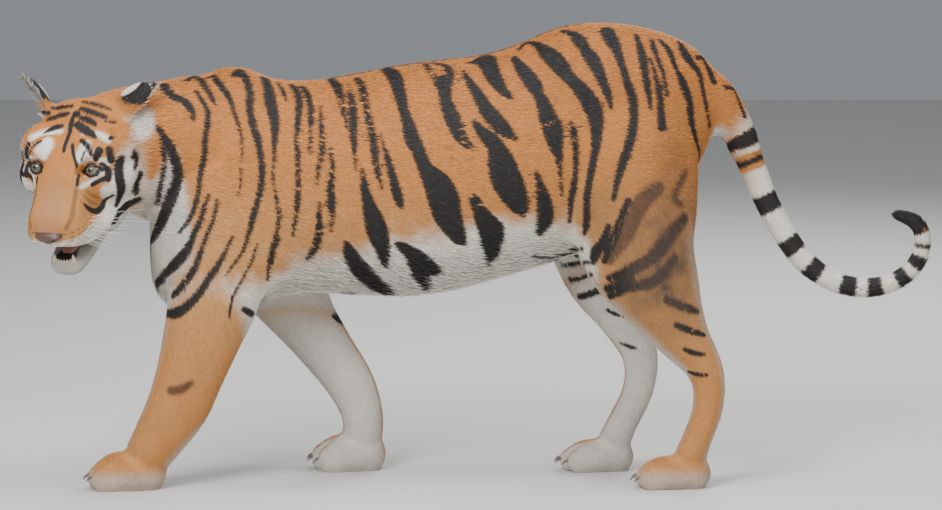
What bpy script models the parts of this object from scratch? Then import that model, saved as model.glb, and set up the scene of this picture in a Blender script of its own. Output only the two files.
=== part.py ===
"""A life-size standing tiger, head turned to its left, as a still museum model.

Metres, +Z up, floor at Z = 0.  The tiger faces -X and its left side faces -Y.  The body is lofted whole,
closed into one skin, and then parted with thin cuts into head, neck, trunk, legs, ears and tail.
"""
import math

import bmesh
import bpy
import numpy as np
from mathutils import Matrix, Vector

# ---------------------------------------------------------------- driving dimensions

PLACE = (-0.018, 0.066, 0.0)    # sets the spine's plane so that the origin is under the middle of the box
GAP = 0.0003                    # clearance between neighbouring pieces
CUT = 0.0005                    # thickness of the thin cuts that part the body

EYES_AT = (-0.877, -0.260, 0.714)   # the point midway between the two corneas
HEAD_TURN = math.radians(24)        # how far the muzzle swings from -Y towards -X
HEAD_DROP = math.radians(33)        # how far the muzzle points below the horizon
EYE_APART = 0.0655                  # from the head's middle plane to an eye's centre
EYE_RADIUS = 0.0195
EYE_RISE = math.radians(33)         # how far the eyes look up from the muzzle's direction
EAR_LENGTH = 0.100
EAR_HALF_WIDTH = 0.048
EAR_CUP = math.radians(62)          # half the angle that the ear's shell wraps round
EAR_THICK = 0.014

VOXEL = 0.0105                  # grid of the closed skin, measured where the head is enlarged
HEAD_ZOOM = 1.9                 # how much finer that grid is over the head
ZOOM_CORE = 0.20                # radius round the head's middle that is zoomed fully
ZOOM_EDGE = 0.45                # radius where the zoom has faded out
FLESH_ROUNDS = 14               # softening of the body's masses into each other
SKIN_ROUNDS = 4                 # softening of the whole skin once ears, tail and feet have joined it
BODY_TRIANGLES = 4300           # the whole skin after thinning

# Trunk stations: distance along the body, height of the back, height of the belly, half width.
TRUNK = [
    (-0.706, 0.650, 0.450, 0.062),
    (-0.692, 0.730, 0.405, 0.095),
    (-0.664, 0.800, 0.378, 0.122),
    (-0.625, 0.850, 0.364, 0.145),
    (-0.570, 0.906, 0.360, 0.158),
    (-0.500, 0.914, 0.376, 0.168),
    (-0.430, 0.890, 0.400, 0.178),
    (-0.350, 0.886, 0.410, 0.190),
    (-0.250, 0.902, 0.405, 0.200),
    (-0.150, 0.921, 0.402, 0.205),
    (-0.060, 0.932, 0.410, 0.203),
    (0.030, 0.944, 0.432, 0.194),
    (0.110, 0.970, 0.456, 0.184),
    (0.190, 1.003, 0.480, 0.176),
    (0.270, 1.013, 0.510, 0.170),
    (0.350, 1.008, 0.545, 0.160),
    (0.430, 0.988, 0.600, 0.138),
    (0.490, 0.958, 0.670, 0.105),
    (0.525, 0.922, 0.745, 0.075),
    (0.550, 0.888, 0.790, 0.045),
]
WIDEST = 0.46                   # where a trunk section is widest, from belly to back

# Neck stations from the skull to the shoulders: centre, then reach above, below and to each side.
NECK = [
    (-0.830, -0.160, 0.745, 0.112, 0.105, 0.108),
    (-0.770, -0.108, 0.742, 0.134, 0.132, 0.124),
    (-0.700, -0.058, 0.738, 0.148, 0.162, 0.136),
    (-0.620, -0.020, 0.732, 0.166, 0.190, 0.142),
    (-0.530, 0.000, 0.725, 0.178, 0.200, 0.140),
]

# Head stations from nape to nose in the head's own axes: along the muzzle, height of the widest
# place, then reach above it, below it and to each side.
SKULL = [
    (-0.260, -0.060, 0.070, 0.080, 0.088),
    (-0.215, -0.068, 0.112, 0.100, 0.116),
    (-0.170, -0.072, 0.136, 0.106, 0.130),
    (-0.120, -0.070, 0.134, 0.104, 0.135),
    (-0.080, -0.064, 0.118, 0.100, 0.131),
    (-0.050, -0.056, 0.101, 0.096, 0.122),
    (-0.020, -0.050, 0.083, 0.092, 0.102),
    (0.005, -0.050, 0.069, 0.084, 0.080),
    (0.030, -0.058, 0.060, 0.068, 0.068),
    (0.060, -0.066, 0.048, 0.054, 0.064),
    (0.090, -0.076, 0.042, 0.045, 0.064),
    (0.112, -0.082, 0.037, 0.037, 0.055),
    (0.128, -0.084, 0.026, 0.029, 0.040),
    (0.138, -0.084, 0.012, 0.014, 0.020),
]
JAW = [
    (-0.150, -0.125, 0.030, 0.044, 0.082),
    (-0.080, -0.142, 0.024, 0.040, 0.074),
    (-0.020, -0.162, 0.018, 0.034, 0.063),
    (0.035, -0.177, 0.013, 0.030, 0.054),
    (0.075, -0.181, 0.018, 0.029, 0.048),
    (0.102, -0.183, 0.022, 0.026, 0.041),
    (0.119, -0.184, 0.012, 0.018, 0.026),
]
# The gap between the lips, as head stations from the corners of the mouth forwards.
MOUTH_AIR = [
    (0.028, -0.160, 0.003, 0.003, 0.080),
    (0.060, -0.152, 0.010, 0.010, 0.090),
    (0.095, -0.144, 0.017, 0.017, 0.090),
    (0.125, -0.142, 0.021, 0.020, 0.090),
    (0.160, -0.142, 0.026, 0.022, 0.090),
]
# Rounded masses of the head: centre, radii, and whether each is made on both sides.
HEAD_MASSES = [
    ((0.082, 0.034, -0.094), (0.048, 0.038, 0.034), True),      # whisker pads
    ((0.045, 0.044, -0.115), (0.060, 0.034, 0.046), True),      # hanging upper lips
    ((-0.052, 0.054, 0.006), (0.048, 0.048, 0.036), True),      # brows
    ((-0.054, 0.084, -0.050), (0.062, 0.056, 0.050), True),     # cheekbones
    ((-0.088, 0.094, -0.012), (0.060, 0.044, 0.052), True),     # temples
    ((-0.108, 0.086, -0.112), (0.062, 0.056, 0.078), True),     # cheek ruffs
    ((-0.035, 0.062, -0.128), (0.078, 0.042, 0.046), True),     # jowls
    ((0.092, 0.000, -0.186), (0.028, 0.036, 0.024), False),     # chin
]
# Air in front of each eye, which the brows and cheeks leave open: centre and radii.
EYE_HOLLOW = ((0.006, 0.069, 0.008), (0.021, 0.029, 0.021))
HEAD_SQUARE = 0.84                  # how far the head's sections are filled out towards a box
# Each ear is turned by itself: the left (+1) is laid back, the right (-1) stands up.
EAR_ROOT = {1: (-0.176, 0.077, 0.008), -1: (-0.130, 0.112, 0.026)}
EAR_RISE = {1: (-0.62, 0.68, 0.40), -1: (-0.42, 0.40, 0.82)}          # from the ear's root to its tip
EAR_OPEN = {1: (-0.32, 0.25, -0.92), -1: (0.78, 0.55, -0.20)}         # the way the cup faces

# Limb stations going down: centre, then reach to the rear, to the front and to each side.
FORE_NEAR = [
    (-0.560, -0.100, 0.700, 0.110, 0.110, 0.060),
    (-0.560, -0.114, 0.600, 0.125, 0.120, 0.076),
    (-0.560, -0.126, 0.500, 0.124, 0.112, 0.080),
    (-0.568, -0.134, 0.420, 0.112, 0.098, 0.074),
    (-0.590, -0.136, 0.340, 0.096, 0.084, 0.064),
    (-0.618, -0.136, 0.255, 0.084, 0.072, 0.056),
    (-0.646, -0.134, 0.185, 0.080, 0.064, 0.054),
    (-0.684, -0.132, 0.115, 0.066, 0.056, 0.053),
    (-0.716, -0.130, 0.062, 0.054, 0.050, 0.052),
]
FORE_FAR = [
    (-0.520, 0.105, 0.700, 0.110, 0.110, 0.060),
    (-0.510, 0.118, 0.600, 0.120, 0.120, 0.078),
    (-0.480, 0.128, 0.500, 0.115, 0.110, 0.080),
    (-0.428, 0.134, 0.420, 0.108, 0.094, 0.072),
    (-0.372, 0.136, 0.340, 0.078, 0.076, 0.062),
    (-0.318, 0.136, 0.265, 0.064, 0.064, 0.054),
    (-0.268, 0.134, 0.190, 0.058, 0.056, 0.050),
    (-0.240, 0.132, 0.120, 0.048, 0.050, 0.050),
    (-0.242, 0.130, 0.062, 0.046, 0.050, 0.052),
]
HIND_NEAR = [
    (0.330, -0.070, 0.860, 0.120, 0.130, 0.080),
    (0.345, -0.092, 0.740, 0.150, 0.150, 0.096),
    (0.352, -0.106, 0.620, 0.146, 0.150, 0.096),
    (0.368, -0.116, 0.520, 0.128, 0.132, 0.082),
    (0.410, -0.122, 0.430, 0.100, 0.104, 0.066),
    (0.462, -0.124, 0.340, 0.062, 0.070, 0.048),
    (0.512, -0.122, 0.258, 0.044, 0.044, 0.038),
    (0.516, -0.120, 0.180, 0.040, 0.036, 0.036),
    (0.494, -0.118, 0.110, 0.038, 0.036, 0.038),
    (0.476, -0.118, 0.060, 0.040, 0.040, 0.042),
]
HIND_FAR = [
    (0.330, 0.070, 0.860, 0.120, 0.130, 0.080),
    (0.327, 0.092, 0.740, 0.150, 0.150, 0.096),
    (0.306, 0.106, 0.620, 0.148, 0.146, 0.096),
    (0.282, 0.116, 0.520, 0.124, 0.118, 0.082),
    (0.294, 0.122, 0.430, 0.094, 0.088, 0.066),
    (0.338, 0.124, 0.340, 0.060, 0.058, 0.048),
    (0.376, 0.122, 0.258, 0.045, 0.044, 0.039),
    (0.370, 0.120, 0.180, 0.041, 0.037, 0.037),
    (0.338, 0.118, 0.110, 0.039, 0.037, 0.039),
    (0.316, 0.118, 0.060, 0.041, 0.041, 0.043),
]
# Muscles that stand out of the lofts: centre and radii, made on both sides.
MUSCLES = [
    ((-0.550, 0.056, 0.775), (0.130, 0.064, 0.125)),    # shoulder blade
    ((-0.605, 0.094, 0.560), (0.100, 0.078, 0.150)),    # point of the shoulder
    ((-0.490, 0.104, 0.560), (0.115, 0.074, 0.165)),    # triceps
    ((0.290, 0.076, 0.830), (0.215, 0.084, 0.150)),     # rump
]
# Paws: where the foot's middle stands, its half length, half width and height.
PAWS = {
    "left_fore": ((-0.752, -0.131), 0.088, 0.066, 0.088),
    "right_fore": ((-0.275, 0.131), 0.086, 0.066, 0.086),
    "left_hind": ((0.440, -0.118), 0.086, 0.056, 0.076),
    "right_hind": ((0.278, 0.118), 0.086, 0.056, 0.076),
}
TAIL = [
    (0.470, 0.000, 0.850, 0.084),
    (0.515, 0.000, 0.842, 0.070),
    (0.554, 0.000, 0.812, 0.054),
    (0.588, 0.000, 0.762, 0.042),
    (0.616, 0.000, 0.694, 0.034),
    (0.650, 0.000, 0.614, 0.031),
    (0.690, 0.002, 0.542, 0.030),
    (0.735, 0.004, 0.482, 0.029),
    (0.795, 0.006, 0.440, 0.027),
    (0.865, 0.008, 0.424, 0.026),
    (0.930, 0.008, 0.437, 0.025),
    (0.976, 0.006, 0.474, 0.024),
    (0.994, 0.004, 0.525, 0.023),
    (0.978, 0.000, 0.568, 0.022),
    (0.940, -0.004, 0.586, 0.018),
]

# Base colour and roughness of each material.
MATERIALS = {
    "coat_orange": ((0.62, 0.33, 0.13), 0.75),
    "coat_white": ((0.78, 0.74, 0.66), 0.78),
    "coat_dark": ((0.10, 0.08, 0.07), 0.75),
    "nose_pink": ((0.55, 0.27, 0.22), 0.45),
    "eye_glass": ((0.42, 0.40, 0.28), 0.08),
    "tongue_pink": ((0.60, 0.25, 0.24), 0.40),
}


# ---------------------------------------------------------------- curves, frames and surfaces

def head_axes():
    """The muzzle's direction, the head's own left, and its crown, as unit vectors."""
    muzzle = Vector((-math.sin(HEAD_TURN) * math.cos(HEAD_DROP),
                     -math.cos(HEAD_TURN) * math.cos(HEAD_DROP),
                     -math.sin(HEAD_DROP)))
    left = Vector((math.cos(HEAD_TURN), -math.sin(HEAD_TURN), 0.0))
    return muzzle, left, muzzle.cross(left)


def head_matrix():
    """Takes the head's own axes (muzzle, left, crown), measured from between the eyes, to the body's."""
    columns = Matrix(head_axes()).transposed().to_4x4()
    return Matrix.Translation(EYES_AT) @ columns


def smooth_rows(rows, steps):
    """Catmull-Rom curve through the rows, with the given number of steps between two of them."""
    rows = np.asarray(rows, float)
    padded = np.vstack([2 * rows[0] - rows[1], rows, 2 * rows[-1] - rows[-2]])
    at = np.linspace(0, len(rows) - 1, (len(rows) - 1) * steps + 1)
    first = np.minimum(at.astype(int), len(rows) - 2)
    t = (at - first)[:, None]
    a, b, c, d = (padded[first + i] for i in range(4))
    bend = (2 * a - 5 * b + 4 * c - d) * t ** 2 + (3 * b - a - 3 * c + d) * t ** 3
    return 0.5 * (2 * b + (c - a) * t + bend)


def loft(rows, steps=3, sides=28, square=1.0, upright=False):
    """Closed tube through stations (x, y, z, over, under, side).

    Each section is perpendicular to the path and made of two half ellipses, 'over' and 'under' the
    centre, as wide as 'side' to each side, with the side direction kept as near +Y as the path allows.
    A 'square' below 1 fills out the corners of the ellipses: sine and cosine are raised to that power.
    Sections of an 'upright' loft stand across X instead of across the path.
    """
    rows = smooth_rows(rows, steps)
    path = rows[:, :3]
    along = np.tile([1.0, 0.0, 0.0], (len(path), 1)) if upright else np.gradient(path, axis=0)
    along /= np.linalg.norm(along, axis=1)[:, None]
    across = np.array([0.0, 1.0, 0.0]) - along * along[:, 1:2]
    across /= np.linalg.norm(across, axis=1)[:, None]
    over = np.cross(along, across)
    angle = np.linspace(0, 2 * math.pi, sides, endpoint=False)
    sine = np.sign(np.sin(angle)) * np.abs(np.sin(angle)) ** square
    cosine = np.sign(np.cos(angle)) * np.abs(np.cos(angle)) ** square
    rise = np.where(sine > 0, rows[:, 3:4], rows[:, 4:5]) * sine
    reach = rows[:, 5:6] * cosine
    rings = path[:, None] + over[:, None] * rise[..., None] + across[:, None] * reach[..., None]
    return rings


def mesh_from_rings(name, rings):
    """Mesh whose faces join each ring to the next, with a flat cap on the first and last."""
    count, sides, _ = rings.shape
    ring, side = np.mgrid[0:count - 1, 0:sides]
    after = (side + 1) % sides
    quads = np.stack([ring * sides + side, (ring + 1) * sides + side,
                      (ring + 1) * sides + after, ring * sides + after], axis=-1)
    faces = quads.reshape(-1, 4).tolist()
    faces.append(list(range(sides)))
    faces.append(list(range(count * sides - 1, (count - 1) * sides - 1, -1)))
    mesh = bpy.data.meshes.new(name)
    mesh.from_pydata(rings.reshape(-1, 3).tolist(), [], faces)
    set_outward(mesh)
    return mesh


def set_outward(mesh):
    """Turns every face of a closed mesh outwards."""
    work = bmesh.new()
    work.from_mesh(mesh)
    bmesh.ops.recalc_face_normals(work, faces=work.faces)
    work.to_mesh(mesh)
    work.free()


def ball(name, centre, radii, matrix=Matrix.Identity(4), segments=20):
    """Ellipsoid mesh with the given centre and radii, then moved by the matrix."""
    work = bmesh.new()
    bmesh.ops.create_uvsphere(work, u_segments=segments, v_segments=segments // 2, radius=1.0)
    bmesh.ops.transform(work, matrix=matrix @ Matrix.Translation(centre) @ Matrix.Diagonal((*radii, 1.0)),
                        verts=work.verts)
    mesh = bpy.data.meshes.new(name)
    work.to_mesh(mesh)
    work.free()
    return mesh


def both_sides(centre):
    """The centre and its mirror image across the middle plane."""
    return [Vector(centre), Vector((centre[0], -centre[1], centre[2]))]


# ---------------------------------------------------------------- the body's masses

def trunk_rows():
    """Trunk stations with the widest place as the centre of each section."""
    rows = []
    for x, back, belly, half_width in TRUNK:
        widest = belly + WIDEST * (back - belly)
        rows.append((x, 0.0, widest, back - widest, widest - belly, half_width))
    return rows


def head_rows(stations):
    """Stations along the muzzle as loft rows in the head's own axes."""
    return [(along, 0.0, height, over, under, side) for along, height, over, under, side in stations]


def in_head(mesh):
    """Moves a mesh from the head's own axes into the body's."""
    mesh.transform(head_matrix())
    return mesh


def ear_axes(side):
    """An ear's root, its rise and the way that it opens, at right angles to the rise; side is +1 for the left."""
    mirror = np.array([1.0, side, 1.0])
    rise = np.array(EAR_RISE[side]) * mirror
    rise /= np.linalg.norm(rise)
    opening = np.array(EAR_OPEN[side]) * mirror
    opening -= rise * (opening @ rise)
    return np.array(EAR_ROOT[side]) * mirror, rise, opening / np.linalg.norm(opening)


def ear_mesh(side):
    """Cupped shell: an arc of EAR_CUP to each side, narrowing to a round tip, EAR_THICK thick.

    side is +1 for the left ear and -1 for the right.
    """
    root, rise, opening = ear_axes(side)
    across = np.cross(rise, opening)
    height, turn = np.meshgrid(np.linspace(-0.25, 1.0, 12), np.linspace(-1, 1, 13), indexing="ij")
    width = EAR_HALF_WIDTH * np.sqrt(np.clip(1.0 - np.clip(height, 0, 1) ** 2.6, 0.02, 1))
    layers = []
    for depth in (0.0, EAR_THICK):
        reach = width + depth - EAR_THICK / 2
        sideways = np.sin(turn * EAR_CUP) * reach
        backwards = -np.cos(turn * EAR_CUP) * reach * 0.85
        upwards = height * EAR_LENGTH * (1 - 0.12 * turn ** 2) + np.where(height > 0.99, depth / 2, 0)
        layers.append(root + rise * upwards[..., None] + across * sideways[..., None]
                      + opening * backwards[..., None])
    inner, outer = layers
    rings = np.concatenate([inner, outer[:, ::-1]], axis=1)
    return in_head(mesh_from_rings("ear", rings))


def mouth_air_mesh():
    """Wedge of air between the lips, which keeps the skin of the jaws apart."""
    return in_head(mesh_from_rings("mouth_air", loft(head_rows(MOUTH_AIR))))


def paw_meshes(centre, half_length, half_width, height, side):
    """A foot of one broad pad, a heel and four toes, standing on the floor and facing -X."""
    x, y = centre
    meshes = [
        ball("pad", (x, y, height * 0.40), (half_length * 0.86, half_width * 0.94, height * 0.56)),
        ball("heel", (x + half_length * 0.42, y, height * 0.42),
             (half_length * 0.60, half_width * 0.74, height * 0.62)),
    ]
    for toe in range(4):
        spread = (toe - 1.5) / 1.5
        forward = half_length * (0.62 - 0.20 * abs(spread) - 0.05 * spread * side)
        meshes.append(ball("toe", (x - forward, y + spread * half_width * 0.66, height * 0.31),
                           (half_length * 0.42, half_width * 0.30, height * 0.40)))
    return meshes


def flesh_meshes():
    """The overlapping masses of the body, which are softened into each other."""
    meshes = [
        mesh_from_rings("trunk", loft(trunk_rows(), upright=True)),
        mesh_from_rings("neck", loft(NECK)),
        in_head(mesh_from_rings("skull", loft(head_rows(SKULL), square=HEAD_SQUARE))),
        in_head(mesh_from_rings("jaw", loft(head_rows(JAW), square=HEAD_SQUARE))),
        tail_mesh(TAIL),
    ]
    for rows in (FORE_NEAR, FORE_FAR, HIND_NEAR, HIND_FAR):
        meshes.append(mesh_from_rings("limb", loft(rows)))
    for centre, radii in MUSCLES:
        meshes += [ball("muscle", at, radii) for at in both_sides(centre)]
    for centre, radii, paired in HEAD_MASSES:
        places = both_sides(centre) if paired else [Vector(centre)]
        meshes += [in_head(ball("mass", at, radii)) for at in places]
    return meshes


def tail_mesh(stations):
    """The tail, or a length of it, as a round tube."""
    return mesh_from_rings("tail", loft([(x, y, z, r, r, r) for x, y, z, r in stations], sides=16))


def slender_meshes():
    """Ears, tail and feet, which join the softened body and keep more of their own shape."""
    meshes = [ear_mesh(1), ear_mesh(-1), tail_mesh(TAIL[3:]), ball("tail_tip", TAIL[-1][:3], (TAIL[-1][3],) * 3)]
    for name, (centre, half_length, half_width, height) in PAWS.items():
        side = 1 if name.startswith("left") else -1
        meshes += paw_meshes(centre, half_length, half_width, height, side)
    return meshes


# ---------------------------------------------------------------- the closed skin

def add_object(name, mesh, collection):
    """A new object for the mesh, in the collection."""
    item = bpy.data.objects.new(name, mesh)
    collection.objects.link(item)
    return item


def joined(name, meshes, collection):
    """One object that holds all the meshes, still overlapping."""
    work = bmesh.new()
    for mesh in meshes:
        work.from_mesh(mesh)
    mesh = bpy.data.meshes.new(name)
    work.to_mesh(mesh)
    work.free()
    return add_object(name, mesh, collection)


def frozen(item):
    """Replaces an object's mesh with what its modifiers make of it."""
    shape = bpy.data.meshes.new_from_object(item.evaluated_get(bpy.context.evaluated_depsgraph_get()))
    item.modifiers.clear()
    item.data = shape


def cut_away(item, cutters):
    """Takes the cutters' volume out of the object, one after another."""
    for cutter in cutters:
        step = item.modifiers.new("cut", "BOOLEAN")
        step.object = cutter
        step.operation = "DIFFERENCE"
    frozen(item)


def zoom_table():
    """Distance from the head's middle before and after the zoom, as two rising lists.

    The rate of growth is HEAD_ZOOM inside ZOOM_CORE and falls smoothly to 1 at ZOOM_EDGE.
    """
    before = np.linspace(0, 3.0, 3001)
    fade = np.clip((before - ZOOM_CORE) / (ZOOM_EDGE - ZOOM_CORE), 0, 1)
    rate = 1 + (HEAD_ZOOM - 1) * (1 - fade * fade * (3 - 2 * fade))
    after = np.concatenate([[0.0], np.cumsum((rate[1:] + rate[:-1]) / 2 * np.diff(before))])
    return before, after


def zoom_head(mesh, inwards=False):
    """Swells the space round the head, or with inwards takes the swelling back out."""
    before, after = zoom_table()
    source, target = (after, before) if inwards else (before, after)
    muzzle, _, crown = head_axes()
    middle = np.array(Vector(EYES_AT) - 0.06 * muzzle - 0.04 * crown)
    points = np.empty(len(mesh.vertices) * 3)
    mesh.vertices.foreach_get("co", points)
    offset = points.reshape(-1, 3) - middle
    distance = np.maximum(np.linalg.norm(offset, axis=1), 1e-9)
    offset *= (np.interp(distance, source, target) / distance)[:, None]
    mesh.vertices.foreach_set("co", (offset + middle).ravel())
    mesh.update()


def closed(item, rounds):
    """Wraps one voxel skin round everything in the object and softens it for the given rounds."""
    grid = item.modifiers.new("close", "REMESH")
    grid.mode = "VOXEL"
    grid.voxel_size = VOXEL
    step = item.modifiers.new("soften", "SMOOTH")
    step.factor = 0.5
    step.iterations = rounds
    frozen(item)


def closed_skin(collection, guides):
    """One closed body round all the masses, with an open mouth and flat soles."""
    flesh = joined("flesh", flesh_meshes(), guides)
    zoom_head(flesh.data)
    closed(flesh, FLESH_ROUNDS)
    slender = joined("slender", slender_meshes(), guides)
    zoom_head(slender.data)
    body = joined("body", [flesh.data, slender.data], collection)
    closed(body, 1)
    hollow, radii = EYE_HOLLOW
    air = [mouth_air_mesh()] + [in_head(ball("eye_air", at, radii)) for at in both_sides(hollow)]
    for mesh in air:
        zoom_head(mesh)
    cut_away(body, [add_object("air", mesh, guides) for mesh in air])
    closed(body, SKIN_ROUNDS)
    count = sum(len(face.vertices) - 2 for face in body.data.polygons)
    thin = body.modifiers.new("thin", "DECIMATE")
    thin.ratio = BODY_TRIANGLES / count
    frozen(body)
    zoom_head(body.data, inwards=True)
    floor = add_object("floor", block((0, 0, -0.25), (4.0, 2.0, 0.50)), guides)
    cut_away(body, [floor])
    return body


def block(centre, size, matrix=Matrix.Identity(4)):
    """Box mesh with the given centre and full size, then moved by the matrix."""
    work = bmesh.new()
    bmesh.ops.create_cube(work, size=1.0)
    bmesh.ops.transform(work, matrix=matrix @ Matrix.Translation(centre) @ Matrix.Diagonal((*size, 1.0)),
                        verts=work.verts)
    mesh = bpy.data.meshes.new("block")
    work.to_mesh(mesh)
    work.free()
    return mesh


# ---------------------------------------------------------------- parting the skin into pieces

def facing(centre, normal, upright=Vector((0, 1, 0))):
    """Matrix that sets a plate's thin side (its own Z) along the normal, with its Y near 'upright'."""
    third = Vector(normal).normalized()
    first = Vector(upright).cross(third).normalized()
    turn = Matrix((first, third.cross(first), third)).transposed().to_4x4()
    return Matrix.Translation(centre) @ turn


# Thin plates: centre, normal, then half length, measured across the body's side-to-side line, and
# half width along it.
PLATES = [
    ((-0.750, -0.080, 0.750), (0.770, 0.630, -0.050), 0.20, 0.21),     # head from neck
    ((-0.640, 0.000, 0.750), (0.938, 0.000, -0.348), 0.27, 0.21),      # neck from chest
    ((-0.275, 0.000, 0.680), (1.0, 0.0, 0.0), 0.300, 0.26),            # chest from belly
    ((0.115, 0.000, 0.730), (1.0, 0.0, 0.0), 0.320, 0.26),             # belly from hindquarters
    ((-0.580, -0.150, 0.371), (0.18, 0.01, 1.0), 0.135, 0.095),         # left foreleg
    ((-0.385, 0.150, 0.366), (0.0, 0.0, 1.0), 0.135, 0.095),           # right foreleg
    ((-0.686, -0.135, 0.122), (0.42, 0.0, 1.0), 0.10, 0.10),           # left fore paw
    ((-0.245, 0.135, 0.126), (-0.15, 0.0, 1.0), 0.10, 0.10),           # right fore paw
    ((0.400, -0.130, 0.425), (-0.45, 0.0, 1.0), 0.15, 0.115),          # left shank
    ((0.292, 0.130, 0.430), (0.0, 0.0, 1.0), 0.14, 0.115),             # right shank
    ((0.516, -0.125, 0.235), (0.0, 0.0, 1.0), 0.10, 0.08),             # left hind foot
    ((0.374, 0.125, 0.235), (0.0, 0.0, 1.0), 0.10, 0.08),              # right hind foot
    ((0.562, 0.000, 0.800), (0.970, 0.0, -0.240), 0.100, 0.09),        # tail from rump
    ((0.645, 0.001, 0.625), (0.45, 0.02, -0.89), 0.057, 0.056),
    ((0.799, 0.006, 0.438), (0.930, 0.02, -0.366), 0.055, 0.055),
    ((0.953, 0.007, 0.454), (0.78, 0.0, 0.63), 0.055, 0.055),
]
# The plate that parts both thighs from the trunk follows the slope of the groin, and a second one
# hangs from it on the spine's plane: centre, normal, half length, half width, drop.
GROIN_PLATE = ((0.325, 0.000, 0.512), (-0.396, 0.000, 0.918), 0.25, 0.24, 0.24)

# A point inside each piece that the plates leave.
PIECES = {
    "head": (-0.840, -0.200, 0.740),
    "neck": (-0.700, -0.040, 0.720),
    "chest": (-0.500, 0.000, 0.650),
    "belly": (-0.080, 0.000, 0.650),
    "hindquarters": (0.300, 0.000, 0.800),
    "left_foreleg": (-0.620, -0.135, 0.250),
    "right_foreleg": (-0.330, 0.135, 0.250),
    "left_fore_paw": (-0.745, -0.131, 0.050),
    "right_fore_paw": (-0.265, 0.131, 0.050),
    "left_thigh": (0.360, -0.115, 0.500),
    "right_thigh": (0.285, 0.115, 0.490),
    "left_shank": (0.460, -0.125, 0.340),
    "right_shank": (0.338, 0.125, 0.340),
    "left_hind_foot": (0.470, -0.118, 0.090),
    "right_hind_foot": (0.315, 0.118, 0.090),
    "tail_root": (0.600, 0.000, 0.730),
    "tail_upper": (0.710, 0.002, 0.530),
    "tail_bend": (0.875, 0.007, 0.430),
    "tail_end": (0.975, 0.003, 0.530),
}
WHITE_PIECES = ("lower_jaw", "right_foreleg", "right_shank")
DARK_PIECES = ("left_ear", "right_ear", "tail_end")

# The lower jaw's block in the head's own axes: it starts under the ears and its top follows the lips.
JAW_BACK = -0.066
JAW_FRONT = 0.200
JAW_HALF_WIDTH = 0.076
JAW_TOP_BACK = -0.170
JAW_TOP_SLOPE = 0.120
JAW_BOTTOM = -0.250

TONGUE = [
    (0.000, -0.150, 0.006, 0.008, 0.020),
    (0.030, -0.150, 0.010, 0.010, 0.026),
    (0.065, -0.153, 0.010, 0.009, 0.024),
    (0.088, -0.157, 0.008, 0.007, 0.018),
    (0.097, -0.160, 0.004, 0.004, 0.010),
]
# Teeth as cones in the head's own axes: root's centre, radius, and length, which is downwards if below 0.
UPPER_TEETH = [((0.100, 0.030, -0.105), 0.0075, -0.032), ((0.100, -0.030, -0.105), 0.0075, -0.032)]
LOWER_TEETH = [((0.103, 0.023, -0.172), 0.0065, 0.032), ((0.103, -0.023, -0.172), 0.0065, 0.032)]
INCISORS = 4                    # a side's worth stands between the lower canines
INCISOR_SPACING = 0.0072
NOSE = ((0.126, 0.000, -0.070), (0.016, 0.027, 0.016))


def jaw_block(grown):
    """The lower jaw's sheared box, 'grown' larger on every face."""
    mesh = block(((JAW_BACK + JAW_FRONT) / 2, 0, (JAW_TOP_BACK + JAW_BOTTOM) / 2),
                 (JAW_FRONT - JAW_BACK + 2 * grown, 2 * (JAW_HALF_WIDTH + grown),
                  JAW_TOP_BACK - JAW_BOTTOM + 2 * grown))
    for vertex in mesh.vertices:
        vertex.co.z += JAW_TOP_SLOPE * (vertex.co.x - JAW_BACK)
    return in_head(mesh)


def tooth_mesh(root, radius, length):
    """A cone from its root to a blunt point."""
    work = bmesh.new()
    bmesh.ops.create_cone(work, cap_ends=True, segments=6, radius1=radius, radius2=radius * 0.25,
                          depth=abs(length))
    turn = Matrix.Rotation(math.pi if length < 0 else 0.0, 4, "X")
    middle = Vector(root) + Vector((0, 0, length / 2))
    bmesh.ops.transform(work, matrix=Matrix.Translation(middle) @ turn, verts=work.verts)
    mesh = bpy.data.meshes.new("tooth")
    work.to_mesh(mesh)
    work.free()
    return in_head(mesh)


def incisor_meshes():
    """A short row of small teeth across the front of the lower jaw."""
    meshes = []
    for number in range(INCISORS):
        side = (number - (INCISORS - 1) / 2) * INCISOR_SPACING
        forward = 0.108 - 6.0 * side ** 2
        meshes.append(tooth_mesh((forward, side, -0.174), 0.0031, 0.020))
    return meshes


def with_teeth(item, meshes, guides):
    """Joins each tooth to the bone and gum that it grows from."""
    for mesh in meshes:
        tooth = add_object("tooth", mesh, guides)
        step = item.modifiers.new("tooth", "BOOLEAN")
        step.object = tooth
        step.operation = "UNION"
    frozen(item)


def ear_plate(side):
    """Plate across an ear's shell, above its root."""
    root, rise, opening = ear_axes(side)
    centre = root + rise * 0.050 - opening * 0.030
    return in_head(block((0, 0, 0), (0.130, 0.090, CUT), facing(Vector(centre), Vector(rise), Vector(opening))))


def plate_meshes():
    """Every thin plate that parts the skin."""
    meshes = [block((0, 0, 0), (2 * length, 2 * width, CUT), facing(centre, normal))
              for centre, normal, length, width in PLATES]
    centre, normal, length, width, drop = GROIN_PLATE
    meshes.append(block((0, 0, 0), (2 * length, 2 * width, CUT), facing(centre, normal)))
    meshes.append(block((0, 0, -drop / 2), (2 * length, CUT, drop), facing(centre, normal)))
    meshes += [ear_plate(side) for side in (1, -1)]
    return meshes


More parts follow.
